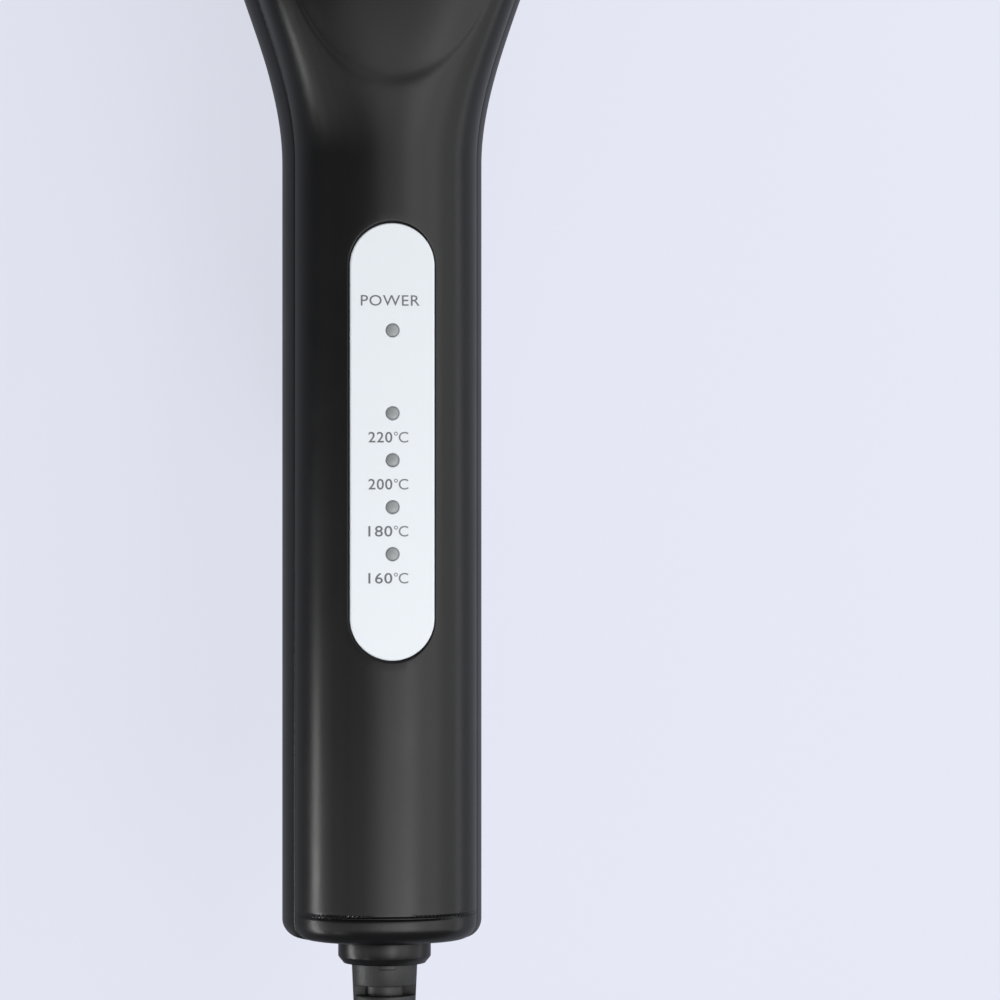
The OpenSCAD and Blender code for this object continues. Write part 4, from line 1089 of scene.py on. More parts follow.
@dataclass(frozen=True)
class BackShell:
    """The tub of the handle, with the flat back, its screw wells and the button's cup."""

    form: CasingForm = FORM
    end: float = 197.4
    notch_from: float = 176.0
    notch_half: float = 22.3
    boss_r: float = 4.55
    boss_top: float = 11.0
    well_r: float = 3.15
    well: float = 6.5
    cup_r: float = 7.25
    cup_top: float = 5.4
    recess_r: float = 5.75
    recess: float = 4.0
    bore_r: float = 4.9
    button_a: float = 95.0
    columns: int = 24

    def rows(self) -> list[float]:
        """Stations along the shell, with the rows of its end wall before them."""
        form = self.form
        lips = form.lip_steps()
        middle = [*spread(form.tail_r, self.notch_from - 0.6, 1.6),
                  *(self.notch_from - d for d in reversed(lips)), self.notch_from,
                  *spread(self.notch_from, self.end - 0.6, 1.1),
                  *(self.end - d for d in reversed(lips)), self.end]
        return [*form.tail_rows(), *middle]

    def seam_u(self, a: float) -> float:
        """Distance from the back's middle to the seam, along the section."""
        return self.form.length_at(max(a, 0.0), 3.0)

    def half_row(self, a: float) -> list[float]:
        """Distances from the middle at which a row has points, up to and with the seam."""
        seam = self.seam_u(a)
        lips = [seam - d for d in self.form.lip_steps()]
        values = [seam * k / self.columns for k in range(1, self.columns)]
        notch = [self.notch_half + d for d in (0.0, *self.form.lip_steps())]
        if a >= self.notch_from:
            values = [v for v in values if v > notch[-1] + 0.3] + notch
        values = [v for v in values if v < lips[-1] - 0.3]
        return sorted([*values, *lips, seam])

    def border(self) -> list[Flat]:
        """The shell's rim, its notch and the hole for the neck, as one closed line."""
        rows = self.rows()
        seam = [(self.seam_u(a), a) for a in rows]
        end = [(u, self.end) for u in reversed(self.half_row(self.end)[:-1])]
        inner = [(self.notch_half, a) for a in reversed(rows) if self.notch_from < a < self.end]
        floor = [(self.notch_half * k / 18, self.notch_from) for k in range(18, 0, -1)]
        right = seam + end + inner + floor
        left = [(-u, a) for u, a in reversed(right)]
        first = [(u, rows[0]) for u in mirrored(self.half_row(rows[0]))[1:-1]]
        return [*right, (0.0, self.notch_from), *left, *first]

    def seeds(self) -> list[Flat]:
        """Points inside the border."""
        found = []
        for a in self.rows()[1:-1]:
            half = [u for u in self.half_row(a) if u < self.seam_u(a)]
            if a == self.notch_from:
                half = [u for u in half if u > self.notch_half]
            row = [-u for u in half] + half
            if a < self.notch_from:
                row.append(0.0)
            elif a > self.notch_from:
                row = [u for u in row if abs(u) > self.notch_half]
            found += [(u, a) for u in row]
        return found

    def features(self) -> list[Feature]:
        """The four screw wells and the button's cup."""
        wells = [self.sunk_at(centre, 40, self.boss_r, self.well_r, self.boss_top, self.well)
                 for centre in HANDLE_SCREWS]
        cup = self.sunk_at((0.0, self.button_a), 64, self.cup_r, self.recess_r, self.cup_top,
                           self.recess, self.bore_r)
        return [*wells, cup]

    def sunk_at(self, centre: Flat, count: int, outer_r: float, inner_r: float, top: float,
                depth: float, bore_r: float = 0.0) -> Feature:
        """A round recess with a soft edge, in a boss that stands inside the shell.

        Args:
            centre: its middle.
            count: points in each of its lines.
            outer_r: the boss's radius.
            inner_r: the recess's radius.
            top: the boss's height.
            depth: the recess's depth.
            bore_r: radius of the hole in its floor, or 0 for none.

        Returns:
            The feature.
        """
        soft = ((0.12, 0.06), (0.0, 0.25), (-0.02, depth))
        lines = [(outer_r + 0.03, Mark()), (outer_r, Mark(inner=top)),
                 (inner_r + 0.35, Mark(inner=top)),
                 *((inner_r + grow, Mark(outer=low, inner=top)) for grow, low in soft)]
        if bore_r:
            lines.append((bore_r, Mark(outer=depth, inner=top)))
        return Feature([Ring(ring(radius, count, centre), mark) for radius, mark in lines],
                       clear=0.5, open=bool(bore_r))

    def bent(self, u: float, a: float, sink: float, height: float, under: bool) -> Vector:
        """Bends a point of the sheet to the casing's form, or into its end wall."""
        form, own = self.form, max(a, 0.0)
        rim = self.seam_u(own) - abs(u)
        if a > self.notch_from:
            rim = min(rim, self.end - a, abs(u) - self.notch_half)
        elif a > self.notch_from - 1 and abs(u) < self.notch_half:
            rim = self.notch_from - a
        inset = form.wall if under else sink + (form.drawn_in(max(rim, 0)) if a >= 0 else 0)
        at = form.inner_a(own) if under else own
        x, n = form.spot(at, min(form.way(own, abs(u)), 3.0), inset)
        x = math.copysign(x, u)
        if a < 0:
            turn = -math.pi / 2 + u / self.seam_u(0.0) * (math.pi / 2 + form.hole_start())
            x, n = form.towards_hole((x, n), a, turn)
        return Vector((x, at, n if height == FREE else height))

    def build(self) -> None:
        """Makes the shell."""
        bm = Sheet.drawn(self.border(), self.features(), self.seeds()).bent(self.bent)
        piece("back_shell_moulding", bm, SATIN, Body.HANDLE, ["back_shell"])


# Indicator panel, its windows and its print


@dataclass(frozen=True)
class IndicatorPanel:
    """The silver plate in the front shell, with five windows and the words beside them."""

    length: float = 79.2
    width: float = 15.3
    thick: float = 1.2
    centre: float = 91.3
    top: float = 26.15
    edge: float = 0.22
    lens_d: float = 2.4
    lamp_a: float = 71.0
    pitch: float = 8.5
    power_gap: float = 15.0
    labels: tuple[str, ...] = ("160", "180", "200", "220")
    label_drop: float = 4.35
    word_rise: float = 5.4
    print_h: float = 1.95
    print_n: float = 0.008
    number_w: float = 4.35
    number_x: float = -2.2
    unit_w: float = 1.75
    unit_x: float = 2.0
    degree_x: float = 0.62
    degree_rise: float = 0.65
    word_w: float = 10.7
    word_x: float = -0.4
    bold: float = 0.01
    light: float = 0.004

    def lamps(self) -> list[float]:
        """Places of the windows along the handle, the power lamp last."""
        heats = [self.lamp_a + self.pitch * k for k in range(len(self.labels))]
        return [*heats, heats[-1] + self.power_gap]

    def outline(self, grow: float) -> list[Flat]:
        """The panel's outline, grown."""
        return stadium(self.width / 2 + grow, (self.length - self.width) / 2, self.centre, 32, 2.0)

    def build(self) -> None:
        """Makes the plate, the windows and the print."""
        top, low = self.top, self.top - self.thick
        sheet = Sheet()
        for grow, drop in ((0.0, self.edge), (-0.03, 0.12), (-0.1, 0.04), (-self.edge, 0.0)):
            sheet.line(Ring(self.outline(grow), Mark(outer=top - drop, inner=low)))
        for a in self.lamps():
            radius = self.lens_d / 2 + 0.05
            rings = [Ring(ring(radius + g, 32, (0, a)), Mark(outer=top - d, inner=low))
                     for g, d in ((0.14, 0.0), (0.05, 0.03), (0.0, 0.12))]
            Feature(rings, open=True).draw(sheet)
        bm = sheet.bent(as_drawn)
        piece("indicator_plate", bm, LACQUER, Body.HANDLE, ["indicator_panel"],
              sharp=12)
        self.windows()
        self.print_all()

    def windows(self) -> None:
        """Makes the five windows: a flange under the wall, a stem and a low dome."""
        radius, dome, flange = self.lens_d / 2, 0.12, 23.3
        bm = bmesh.new()
        profile = [(0.0, 20.6), (radius, 20.6), (radius, flange), (radius + 0.6, flange),
                   (radius + 0.6, flange + 0.8), (radius, flange + 0.8),
                   (radius, self.top - 0.12), (radius - 0.07, self.top - 0.03),
                   *((radius * s, self.top - 0.02 + dome * (1 - s * s)) for s in (0.9, 0.6, 0.3)),
                   (0.0, self.top - 0.02 + dome)]
        for a in self.lamps():
            turned(bm, profile, Matrix.Translation((0, a, 0)), 32)
        piece("indicator_windows", bm, WINDOW, Body.HANDLE, ["indicator_lenses"])

    def lettering(self, bm: BMesh, text: str, width: float, centre: Flat, bold: float) -> None:
        """Adds a word as thin raised print.

        Args:
            bm: the mesh it is added to.
            text: the word.
            width: its width.
            centre: the x and a of its middle.
            bold: how much its strokes are thickened, at a size of 1.
        """
        curve = bpy.data.curves.new("word", "FONT")
        curve.body, curve.size, curve.offset, curve.extrude = text, 1.0, bold, 0.01
        curve.resolution_u = 6
        curve.space_character = 1.08
        word = placed("word", curve)
        ready = word.evaluated_get(bpy.context.evaluated_depsgraph_get())
        mesh = bpy.data.meshes.new_from_object(ready)
        bpy.data.objects.remove(word)
        bpy.data.curves.remove(curve)
        spots = np.array([v.co for v in mesh.vertices])
        low, high = spots.min(axis=0), spots.max(axis=0)
        size = high - low
        fit = Matrix.Diagonal((width / size[0], self.print_h / size[1], 0.02 / size[2], 1))
        middle = Vector((low + high) / 2)
        mesh.transform(Matrix.Translation((*centre, self.top + self.print_n)) @ fit
                       @ Matrix.Translation(-middle))
        part = bmesh.new()
        part.from_mesh(mesh)
        bpy.data.meshes.remove(mesh)
        bmesh.ops.remove_doubles(part, verts=part.verts, dist=1e-5)
        merge_into(bm, part)

    def print_all(self) -> None:
        """Prints the heats in bold, their units lighter, and the word at the power lamp."""
        bold, light = bmesh.new(), bmesh.new()
        lamps = self.lamps()
        degree = [(0.2, -0.01), (0.36, -0.01), (0.36, 0.01), (0.2, 0.01)]
        for text, a in zip(self.labels, lamps):
            line = a - self.label_drop
            self.lettering(bold, text, self.number_w, (self.number_x, line), self.bold)
            self.lettering(light, "C", self.unit_w, (self.unit_x, line), self.light)
            at = (self.degree_x, line + self.degree_rise, self.top + self.print_n)
            turned(light, degree, Matrix.Translation(at), 16, closed=True)
        self.lettering(bold, "POWER", self.word_w, (self.word_x, lamps[-1] + self.word_rise),
                       self.light)
        piece("heat_numbers", bold, INK, Body.HANDLE, sharp=30)
        piece("heat_units", light, THIN_INK, Body.HANDLE, sharp=30)


# What is on the flat back: button, ring, label, sticker and screws


@dataclass(frozen=True)
class BackFittings:
    """The button in its bright ring, the paper labels and the handle's screws."""

    button_a: float = 95.0
    button_r: float = 3.75
    proud: float = 2.3
    ring_r: float = 5.73
    ring_low: float = 2.2
    ring_top: float = 4.0
    label_a: float = 83.6
    label_half: Flat = (9.9, 4.55)
    sticker_a: float = 113.4
    sticker_half: Flat = (9.5, 5.15)
    paper: float = 0.15
    head_r: float = 2.7
    head_low: float = 4.5
    head_high: float = 6.5
    cross_turn: float = 20.0

    def build(self) -> None:
        """Makes them all."""
        self.button()
        self.bright_ring()
        self.label()
        self.sticker()
        self.screws()

    def button(self) -> None:
        """Makes the button: a dished cap with a rounded edge, a flange and a plunger."""
        r, low = self.button_r, -self.proud
        dish = [(r * s, low + 0.4 - 0.23 * (s * r / 3.75) ** 2) for s in (0, 0.25, 0.5, 0.72)]
        cap = [*dish, (r - 0.55, low + 0.13), *rounded(0.45, (r - 0.45, low + 0.58), -80, 0, 6)]
        profile = [*cap, (r, 4.05), (4.6, 4.05), (4.6, 5.25), (1.6, 5.25), (1.6, 12.7), (0.0, 12.7)]
        bm = bmesh.new()
        turned(bm, profile, Matrix.Translation((0, self.button_a, 0)), 72)
        piece("round_button", bm, SATIN, Body.BUTTON, ["push_button"])

    def bright_ring(self) -> None:
        """Makes the plated ring: a rolled edge and a cone down to the button."""
        low, high, inner = self.ring_low, self.ring_top, self.button_r + 0.08
        profile = [(self.ring_r, high), *rounded(0.25, (self.ring_r - 0.25, low + 0.25), 0, -90),
                   *rounded(0.25, (self.ring_r - 0.6, low + 0.25), -90, -135),
                   *rounded(0.35, (inner + 0.35, low + 1.25), -135, -180), (inner, high)]
        bm = bmesh.new()
        turned(bm, profile, Matrix.Translation((0, self.button_a, 0)), 96, closed=True)
        piece("bright_ring", bm, CHROME, Body.HANDLE, ["button_bezel"])

    def label(self) -> None:
        """Makes the blank label, with round corners."""
        outline = round_box(self.label_half, 0.8, (0.0, self.label_a), 5)
        bm = bmesh.new()
        prism(bm, [(x, a, -self.paper) for x, a in outline], Vector((0, 0, self.paper)), 0.03)
        piece("blank_label", bm, FILM, Body.HANDLE, ["rating_label"])

    def sticker(self) -> None:
        """Makes the oval sticker and its thin printed line."""
        half_w, half_l = self.sticker_half
        bm = bmesh.new()
        points = [(x, self.sticker_a + y, -self.paper) for x, y in oval(half_w, half_l, 72)]
        prism(bm, points, Vector((0, 0, self.paper)), 0.03)
        piece("oval_sticker", bm, FILM, Body.HANDLE, ["inspection_sticker"])
        sheet = Sheet()
        for draw_in in (0.7, 0.95):
            outline = [(x, self.sticker_a + y)
                       for x, y in oval(half_w - draw_in, half_l - draw_in, 72)]
            sheet.line(Ring(outline, Mark(outer=-self.paper - 0.015, inner=-self.paper + 0.01)))
        sheet.gaps.append(sheet.points[-72:])
        piece("sticker_line", sheet.bent(as_drawn), INK, Body.HANDLE)

    def screws(self) -> None:
        """Makes the four handle screws, with domed cross-slotted heads."""
        bm = bmesh.new()
        for centre in HANDLE_SCREWS:
            self.screw(bm, centre)
        piece("cross_head_screws", bm, ZINC, Body.HANDLE, ["handle_screws"])

    def screw(self, bm: BMesh, centre: Flat) -> None:
        """Adds one screw, its head towards the flat back."""
        half, wide, depth = 1.75, 0.42, 1.15
        spin = Matrix.Rotation(math.radians(self.cross_turn), 2)
        cross = [(wide, half), (-wide, half), (-wide, wide), (-half, wide), (-half, -wide),
                 (-wide, -wide), (-wide, -half), (wide, -half), (wide, -wide), (half, -wide),
                 (half, wide), (wide, wide)]

        def crossed(grow: float, low: float) -> Ring:
            points = []
            for x, y in cross:
                p = spin @ Vector((x + math.copysign(grow, x), y + math.copysign(grow, y)))
                points.append((p.x, p.y))
            return Ring(points, Mark(outer=low, inner=self.head_high))

        sheet = Sheet()
        for share in (1.0, 0.985, 0.94, 0.86):
            low = self.head_low + 0.75 * (1 - math.sqrt(1 - share ** 6))
            sheet.line(Ring(ring(self.head_r * share, 48), Mark(outer=low, inner=self.head_high)))
        sheet.line(crossed(0.06, self.head_low))
        sheet.line(crossed(0.0, self.head_low + 0.06))
        sheet.line(crossed(-0.04, self.head_low + depth))
        head = sheet.bent(as_drawn)
        head.transform(Matrix.Translation((*centre, 0)))
        merge_into(bm, head)
        shank = [(0.0, 6.4), (1.45, 6.4), (1.45, 17.4), (0.7, 18.5), (0.0, 18.5)]
        turned(bm, shank, Matrix.Translation((*centre, 0)), 20)


# The rocker: the rear jaw's cover, and the lever as its other end


@dataclass(frozen=True)
class Rocker:
    """The moulding whose one end is the thumb lever and whose other end covers the rear jaw."""

    form: CasingForm = FORM
    lever_a: float = 86.5
    lever_round: float = 9.5
    lever_w: float = 13.2
    taper: float = 0.08
    grow_from: float = 150.0
    grow_to: float = 201.0
    low: float = 17.0
    low_slope: float = 0.42
    kink_a: float = 103.0
    kink: float = 0.237
    top_slope: float = math.tan(math.radians(28.5))
    top_drop: float = 1.5
    under: float = 0.6
    rim: float = 2.5
    open_from: float = 174.0
    edge: float = 0.5

    def half_w(self, a: float, inset: float) -> float:
        """Half width at a."""
        start = self.lever_a + self.lever_round
        line = self.lever_w / 2 + self.taper * (min(a, self.grow_from) - start)
        last = self.lever_w / 2 + self.taper * (self.grow_from - start)
        part = smooth((a - self.grow_from) / (self.grow_to - self.grow_from))
        width = line + (self.form.head_w / 2 - last) * part
        if a < start:
            share = (start - a) / self.lever_round
            width = max(0.5, self.lever_w / 2 * math.sqrt(max(0.0, 1 - share * share)))
        tip = a - (self.form.length - self.form.tip_r)
        return width - inset - eased(self.form.tip_r - inset, tip)

    def top(self, a: float) -> float:
        """Height of the top face."""
        if a > 198.4:
            return self.rim
        if a > PIVOT[0] + 1:
            return -self.under
        return (-self.top_drop - self.top_slope * (PIVOT[0] - a)
                - bend(self.kink_a - a, self.kink, 6.0))

    def bottom(self, a: float, inset: float) -> float:
        """Height of the outer face."""
        return (-self.low + inset - bend(PIVOT[0] - a, self.low_slope, 14.0)
                - bend(self.kink_a - a, self.kink, 6.0)
                + eased(self.form.nose_r - inset, a - (self.form.length - self.form.nose_r)))

    def half_section(self, a: float, inset: float, turns: int) -> list[Flat]:
        """Right half of a section, from the middle of the outer face up to the top."""
        w, top, low = self.half_w(a, inset), self.top(a), self.bottom(a, inset)
        flat, e = 0.42 * w, 2 / 2.6
        points = [(flat * k / 5, low) for k in range(5)]
        for k in range(turns + 1):
            turn = math.pi / 2 * k / turns
            points.append((flat + (w - flat) * math.sin(turn) ** e,
                           top - (top - low) * max(0.0, math.cos(turn)) ** e))
        return points

    def ring(self, a: float, hollow: bool) -> list[Flat]:
        """A whole section: the outer side, the rounded edge, and the top or the hollow."""
        outer = self.half_section(a, 0.0, 26)
        w, top = outer[-1]
        edge = min(self.edge, w * 0.6)
        below = [p for p in outer[:-1] if p[1] < top - edge * 1.05]
        missing = len(outer) - 1 - len(below)
        last = below[-1]
        goal = (w, top - edge)
        below += [(last[0] + (goal[0] - last[0]) * (k + 1) / (missing + 1),
                   last[1] + (goal[1] - last[1]) * (k + 1) / (missing + 1)) for k in range(missing)]
        lip = rounded(edge, (w - edge, top - edge), 0, 90, 5)
        inner = list(reversed(self.half_section(min(a, 319.8), self.form.wall, 18)))
        if hollow:
            path = inner
        else:
            path = [((w - edge) * (1 - (k + 1) / len(inner)), top) for k in range(len(inner))]
        half = [*below, *lip, *path]
        return half + [(-x, n) for x, n in reversed(half[1:-1])]

    def rows(self) -> list[tuple[float, bool]]:
        """Stations, each with whether the top is open there."""
        tip = self.form.length - self.form.tip_r
        inner_tip = tip + self.form.tip_r - self.form.wall
        start = [self.lever_a + self.lever_round * (1 - math.cos(math.radians(t)))
                 for t in range(0, 91, 6)]
        closed = [*start, *spread(96.0, self.open_from, 1.4)]
        opened = [self.open_from + 0.01, *spread(self.open_from, 185.98, 1.2), 186.02,
                  *spread(186.02, 198.38, 1.2), 198.42, *spread(198.42, tip, 1.8)]
        nose = [tip + self.form.tip_r * math.sin(math.radians(t)) for t in range(5, 90, 5)]
        opened += [a for a in nose if a < inner_tip - 0.01] + [inner_tip]
        ends = [inner_tip + 0.01, *(a for a in nose if a > inner_tip + 0.05), self.form.length]
        return ([(a, False) for a in closed] + [(a, True) for a in opened]
                + [(a, False) for a in ends])

    def build(self) -> None:
        """Makes the moulding, with its ears round the hinge pin and its screw posts."""
        bm = wrapped([[(x, a, n) for x, n in self.ring(a, hollow)] for a, hollow in self.rows()])
        for side in (-1, 1):
            self.ear(bm, side)
        for x, a in FRAME_SCREWS:
            post = [(0.0, -1.9), (3.1, -1.9), (3.1, -15.5), (0.0, -15.5)]
            turned(bm, post, Matrix.Translation((x, a, 0)), 24)
        piece("lever_moulding", bm, SATIN, Body.ROCKER, ["lever_and_jaw_cover"])

    def ear(self, bm: BMesh, side: int) -> None:
        """Adds the ear that turns on one side of the hinge pin."""
        half, radius, low, inner_x, thick = 5.0, 6.0, -15.5, 12.0, 4.5
        arc = rounded(radius, PIVOT, -33, 180 + 33, 18)
        outline = [(PIVOT[0] - half, low), (PIVOT[0] + half, low), *arc]
        points = [(side * inner_x, a, n) for a, n in outline]
        prism(bm, points, Vector((side * thick, 0, 0)), 0.3)


# Plates


@dataclass(frozen=True)
class HeatedPlate:
    """A coated plate: a channel with rounded long edges, its face towards the other plate."""

    name: str
    node: str
    body: Body
    face: float
    away: int
    half_w: float = 26.0
    start: float = 209.0
    end: float = 305.0
    deep: float = 7.15
    thick: float = 1.6
    round_r: float = 2.0
    flange: float = 2.4

    def build(self) -> None:
        """Makes the plate from its section, pushed along the handle."""
        w, r, t = self.half_w, self.round_r, self.thick
        outer = [*rounded(r, (w - r, r), -90, 0, 8), (w, self.deep - 1.5),
                 (w + self.flange, self.deep - 1.5), (w + self.flange, self.deep)]
        inner = [(w - t, self.deep), (w - t, r + 1.2),
                 *rounded(0.7, (w - t - 0.7, 3.2), 0, -90, 4)]
        half = outer + inner
        section = half + [(-x, h) for x, h in reversed(half)]
        bm = bmesh.new()
        points = [(x, self.start, self.face + self.away * h) for x, h in section]
        prism(bm, points, Vector((0, self.end - self.start, 0)))
        piece(self.name, bm, COATING, self.body, [self.node], sharp=30)


# Swivel, strain relief and cord


@dataclass(frozen=True)
class SwivelEnd:
    """The collar that turns in the handle's end, and the strain relief on it."""

    cord_n: float = 10.5
    collar_r: float = 8.55
    collar_l: float = 4.4
    relief_r: float = 6.05
    relief_end_r: float = 4.2
    relief_l: float = 42.0
    slots: int = 8
    slot_w: float = 1.8
    core_r: float = 3.7
    web: float = 15.0

    def axis(self) -> Matrix:
        """Takes a turned shape's height to the way out along the cord."""
        return (Matrix.Translation((0, 0, self.cord_n))
                @ Matrix.Rotation(math.radians(90), 4, "X"))

    def build(self) -> None:
        """Makes the collar and the strain relief."""
        self.collar()
        self.relief()

    def collar(self) -> None:
        """Makes the collar with its neck, inner flange and spindle."""
        r, end = self.collar_r, self.collar_l
        profile = [(2.0, end - 0.4), (r - 1.2, end), (r - 0.95, end), *rounded(
            0.35, (r - 1.15, end - 0.35), 78, 45, 2), (r - 0.12, end - 1.05),
            (r, end - 1.3), (r, 0.55), *rounded(0.25, (r - 0.25, 0.55), 0, -90),
            (5.0, 0.3), (5.0, -2.9), (7.2, -2.9), (7.2, -4.9), (4.0, -4.9), (4.0, -15.5),
            (2.0, -15.5)]
        bm = bmesh.new()
        turned(bm, profile, self.axis(), 96, closed=True)
        self.notch(bm)
        piece("collar_moulding", bm, SATIN, Body.SWIVEL, ["swivel_collar"])

    def notch(self, bm: BMesh) -> None:
        """Adds the small raised key at the front of the collar's end."""
        x, a, n = 1.5, -self.collar_l, self.cord_n + self.relief_r
        outline = [(-x, a - 0.9, n), (x, a - 0.9, n), (x, a + 0.2, n), (-x, a + 0.2, n)]
        prism(bm, [(px, pa, pn - 0.9) for px, pa, pn in outline], Vector((0, 0, 1.25)), 0.15)

    def radius(self, d: float) -> float:
        """Radius of the strain relief, d from the collar."""
        return self.relief_r + (self.relief_end_r - self.relief_r) * d / self.relief_l

    def relief(self) -> None:
        """Makes the strain relief: a taper, slotted at front and back and at the sides by turns."""
        pitch = self.relief_l / (self.slots + 1)
        half, end, inner_r = self.slot_w / 2, self.relief_l, 3.05
        lips = ((-0.28, 0.0), (-0.1, 0.04), (0.0, 0.16), (0.02, 1.0))
        rows: list[tuple[float, float, int]] = [(0.0, 0.0, 0)]
        for k in range(1, self.slots + 1):
            centre, kind = pitch * k + 0.3, k % 2 + 1
            rows += [(centre - half + d, deep, kind) for d, deep in lips]
            rows += [(centre + half - d, deep, kind) for d, deep in reversed(lips)]
        rows += [(end - 1.0, 0.0, 0), (end - 0.3, 0.0, 0)]
        fine = [0.0, 0.25, 1.0, 2.2]
        quarter = [self.web + g for g in fine] + spread(self.web + 4, 180 - self.web - 4, 7.5)
        quarter += [180 - self.web - g for g in reversed(fine)]
        quarter += [180.0, 180 + self.web / 2]
        turns = sorted({(t + more) % 360 for t in quarter for more in (0, 90, 180, 270)})

        def at(r: float, turn: float, d: float) -> Spot:
            angle = math.radians(turn)
            return r * math.cos(angle), r * math.sin(angle), self.collar_l + d

        rings = []
        for d, deep, kind in rows:
            r = self.radius(d) - (0.12 if d > end - 0.5 else 0.0)
            rings.append([at(r - (r - self.core_r) * self.slot_depth(t, kind) * deep, t, d)
                          for t in turns])
        for r, d in ((self.relief_end_r - 0.45, end), (inner_r, end), (inner_r, end - 3.0)):
            rings.append([at(r, t, d) for t in turns])
        bm = wrapped(rings)
        bm.transform(self.axis())
        piece("strain_relief_moulding", bm, RUBBER, Body.SWIVEL, ["strain_relief"])

    def slot_depth(self, turn: float, kind: int) -> float:
        """Share of a slot's full depth at an angle.

        Args:
            turn: the angle, in degrees.
            kind: 0 for no slot, 1 for slots at the sides, 2 for slots at front and back.

        Returns:
            The share, from 0 to 1.
        """
        if kind == 0:
            return 0.0
        turn = (turn + (0 if kind == 2 else 90)) % 180
        inside = min(turn - self.web, 180 - self.web - turn)
        return min(1.0, max(0.0, inside / 0.25))


@dataclass(frozen=True)
class MainsCord:
    """The cord: out of the strain relief, down to the floor, round its coil and to the plug."""

    radius: float = 3.0
    lie_d: float = 46.4
    cord_n: float = 10.5
    turns: float = 7.5
    coil_r: float = 34.0
    gap: float = 0.5
    layers: int = 4
    centre: Flat = (-21.0, -304.0)
    lowest: float = 4.0
    rings: int = 24
    plug: Flat = (-47.0, -237.0)
    plug_n: float = 6.85
    lead: tuple[Spot, ...] = (
        (0.3, -206.4, 100.9), (1.2, -217.8, 97.2), (2.6, -227.2, 89.8), (4.5, -233.4, 79.6),
        (6.7, -238.3, 68.6), (9, -243.1, 57.6), (11.4, -248, 46.7), (13.7, -252.9, 35.7),
        (15.7, -257.9, 24.9), (17.4, -264.3, 14.8), (18.5, -273.3, 7.6), (19, -284, 4.3))
    tail: tuple[Spot, ...] = (
        (-60.2, -282.9, 22.5), (-57.8, -274.5, 19.7), (-54, -267.5, 15.2), (-50.2, -260.5, 10.7),
        (-47.8, -252.1, 7.9))

    def step(self) -> float:
        """Distance between neighbouring turns."""
        return 2 * self.radius + self.gap

    def layer_turns(self) -> float:
        """Turns in one layer."""
        return self.turns / self.layers

    def outer_r(self) -> float:
        """Radius of the outermost turn."""
        return self.coil_r + self.step() * self.layer_turns() / 2

    def layer_at(self, turn: float) -> float:
        """How many layers up the coil is: it climbs to the next in half a turn."""
        near = math.floor(turn / self.layer_turns() + 0.5)
        d = turn - near * self.layer_turns()
        if near == 0:
            return 0.0
        if near == self.layers:
            return self.layers - 1.0
        return near - 1 + min(max(d / 0.5 + 0.5, 0.0), 1.0)

    def radius_at(self, turn: float) -> float:
        """Radius of the coil: in, out, in and out again at a steady rate."""
        layer = math.floor(turn / self.layer_turns())
        part = turn / self.layer_turns() - layer
        span = self.step() * self.layer_turns()
        return self.outer_r() - span * (part if layer % 2 == 0 else 1 - part)

    def coil(self) -> list[Vector]:
        """Points of the coil, with two straight steps at each end."""
        points = []
        for k in range(round(self.turns * self.rings) + 1):
            turn = k / self.rings
            r, angle = self.radius_at(turn), -math.tau * turn
            points.append(Vector((self.centre[0] + r * math.cos(angle),
                                  self.centre[1] + r * math.sin(angle),
                                  self.lowest + self.step() * self.layer_at(turn))))
        straight = Vector((0, 2 * self.radius, 0))
        first, last = points[0] + straight, points[-1] + straight
        return [first + straight, first, *points, last, last + straight]

    def route(self) -> list[Vector]:
        """The whole route in the frame, in metres."""
        start = PLACE.point(0, -self.lie_d, self.cord_n)
        plug = [Vector((self.plug[0], self.plug[1] - 2 * self.radius, self.plug_n)),
                Vector((*self.plug, self.plug_n))]
        rest = [*map(Vector, self.lead), *self.coil(), *map(Vector, self.tail), *plug]
        return ([start, start - 6 * MM * PLACE.along, start - 14 * MM * PLACE.along]
                + [MM * p for p in rest])

    def build(self, on_it: Sequence[Any]) -> None:
        """Makes the cord as one curve.

        Args:
            on_it: the plug, its pins and the tie; not used.
        """
        route = self.route()
        curve = bpy.data.curves.new("mains_cord", "CURVE")
        curve.dimensions = "3D"
        curve.bevel_depth = self.radius * MM
        curve.bevel_resolution = 5
        curve.resolution_u = 5
        curve.use_fill_caps = True
        spline = curve.splines.new("BEZIER")
        spline.bezier_points.add(len(route) - 1)
        for knot, point in zip(spline.bezier_points, route):
            knot.co = point
            knot.handle_left_type = knot.handle_right_type = "AUTO"
        made = placed("mains_cord", curve)
        curve.materials.append(RUBBER.material())
        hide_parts("cord_lead", "cord_coil", "cord_tail")
        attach(made, Body.HANDLE.value)


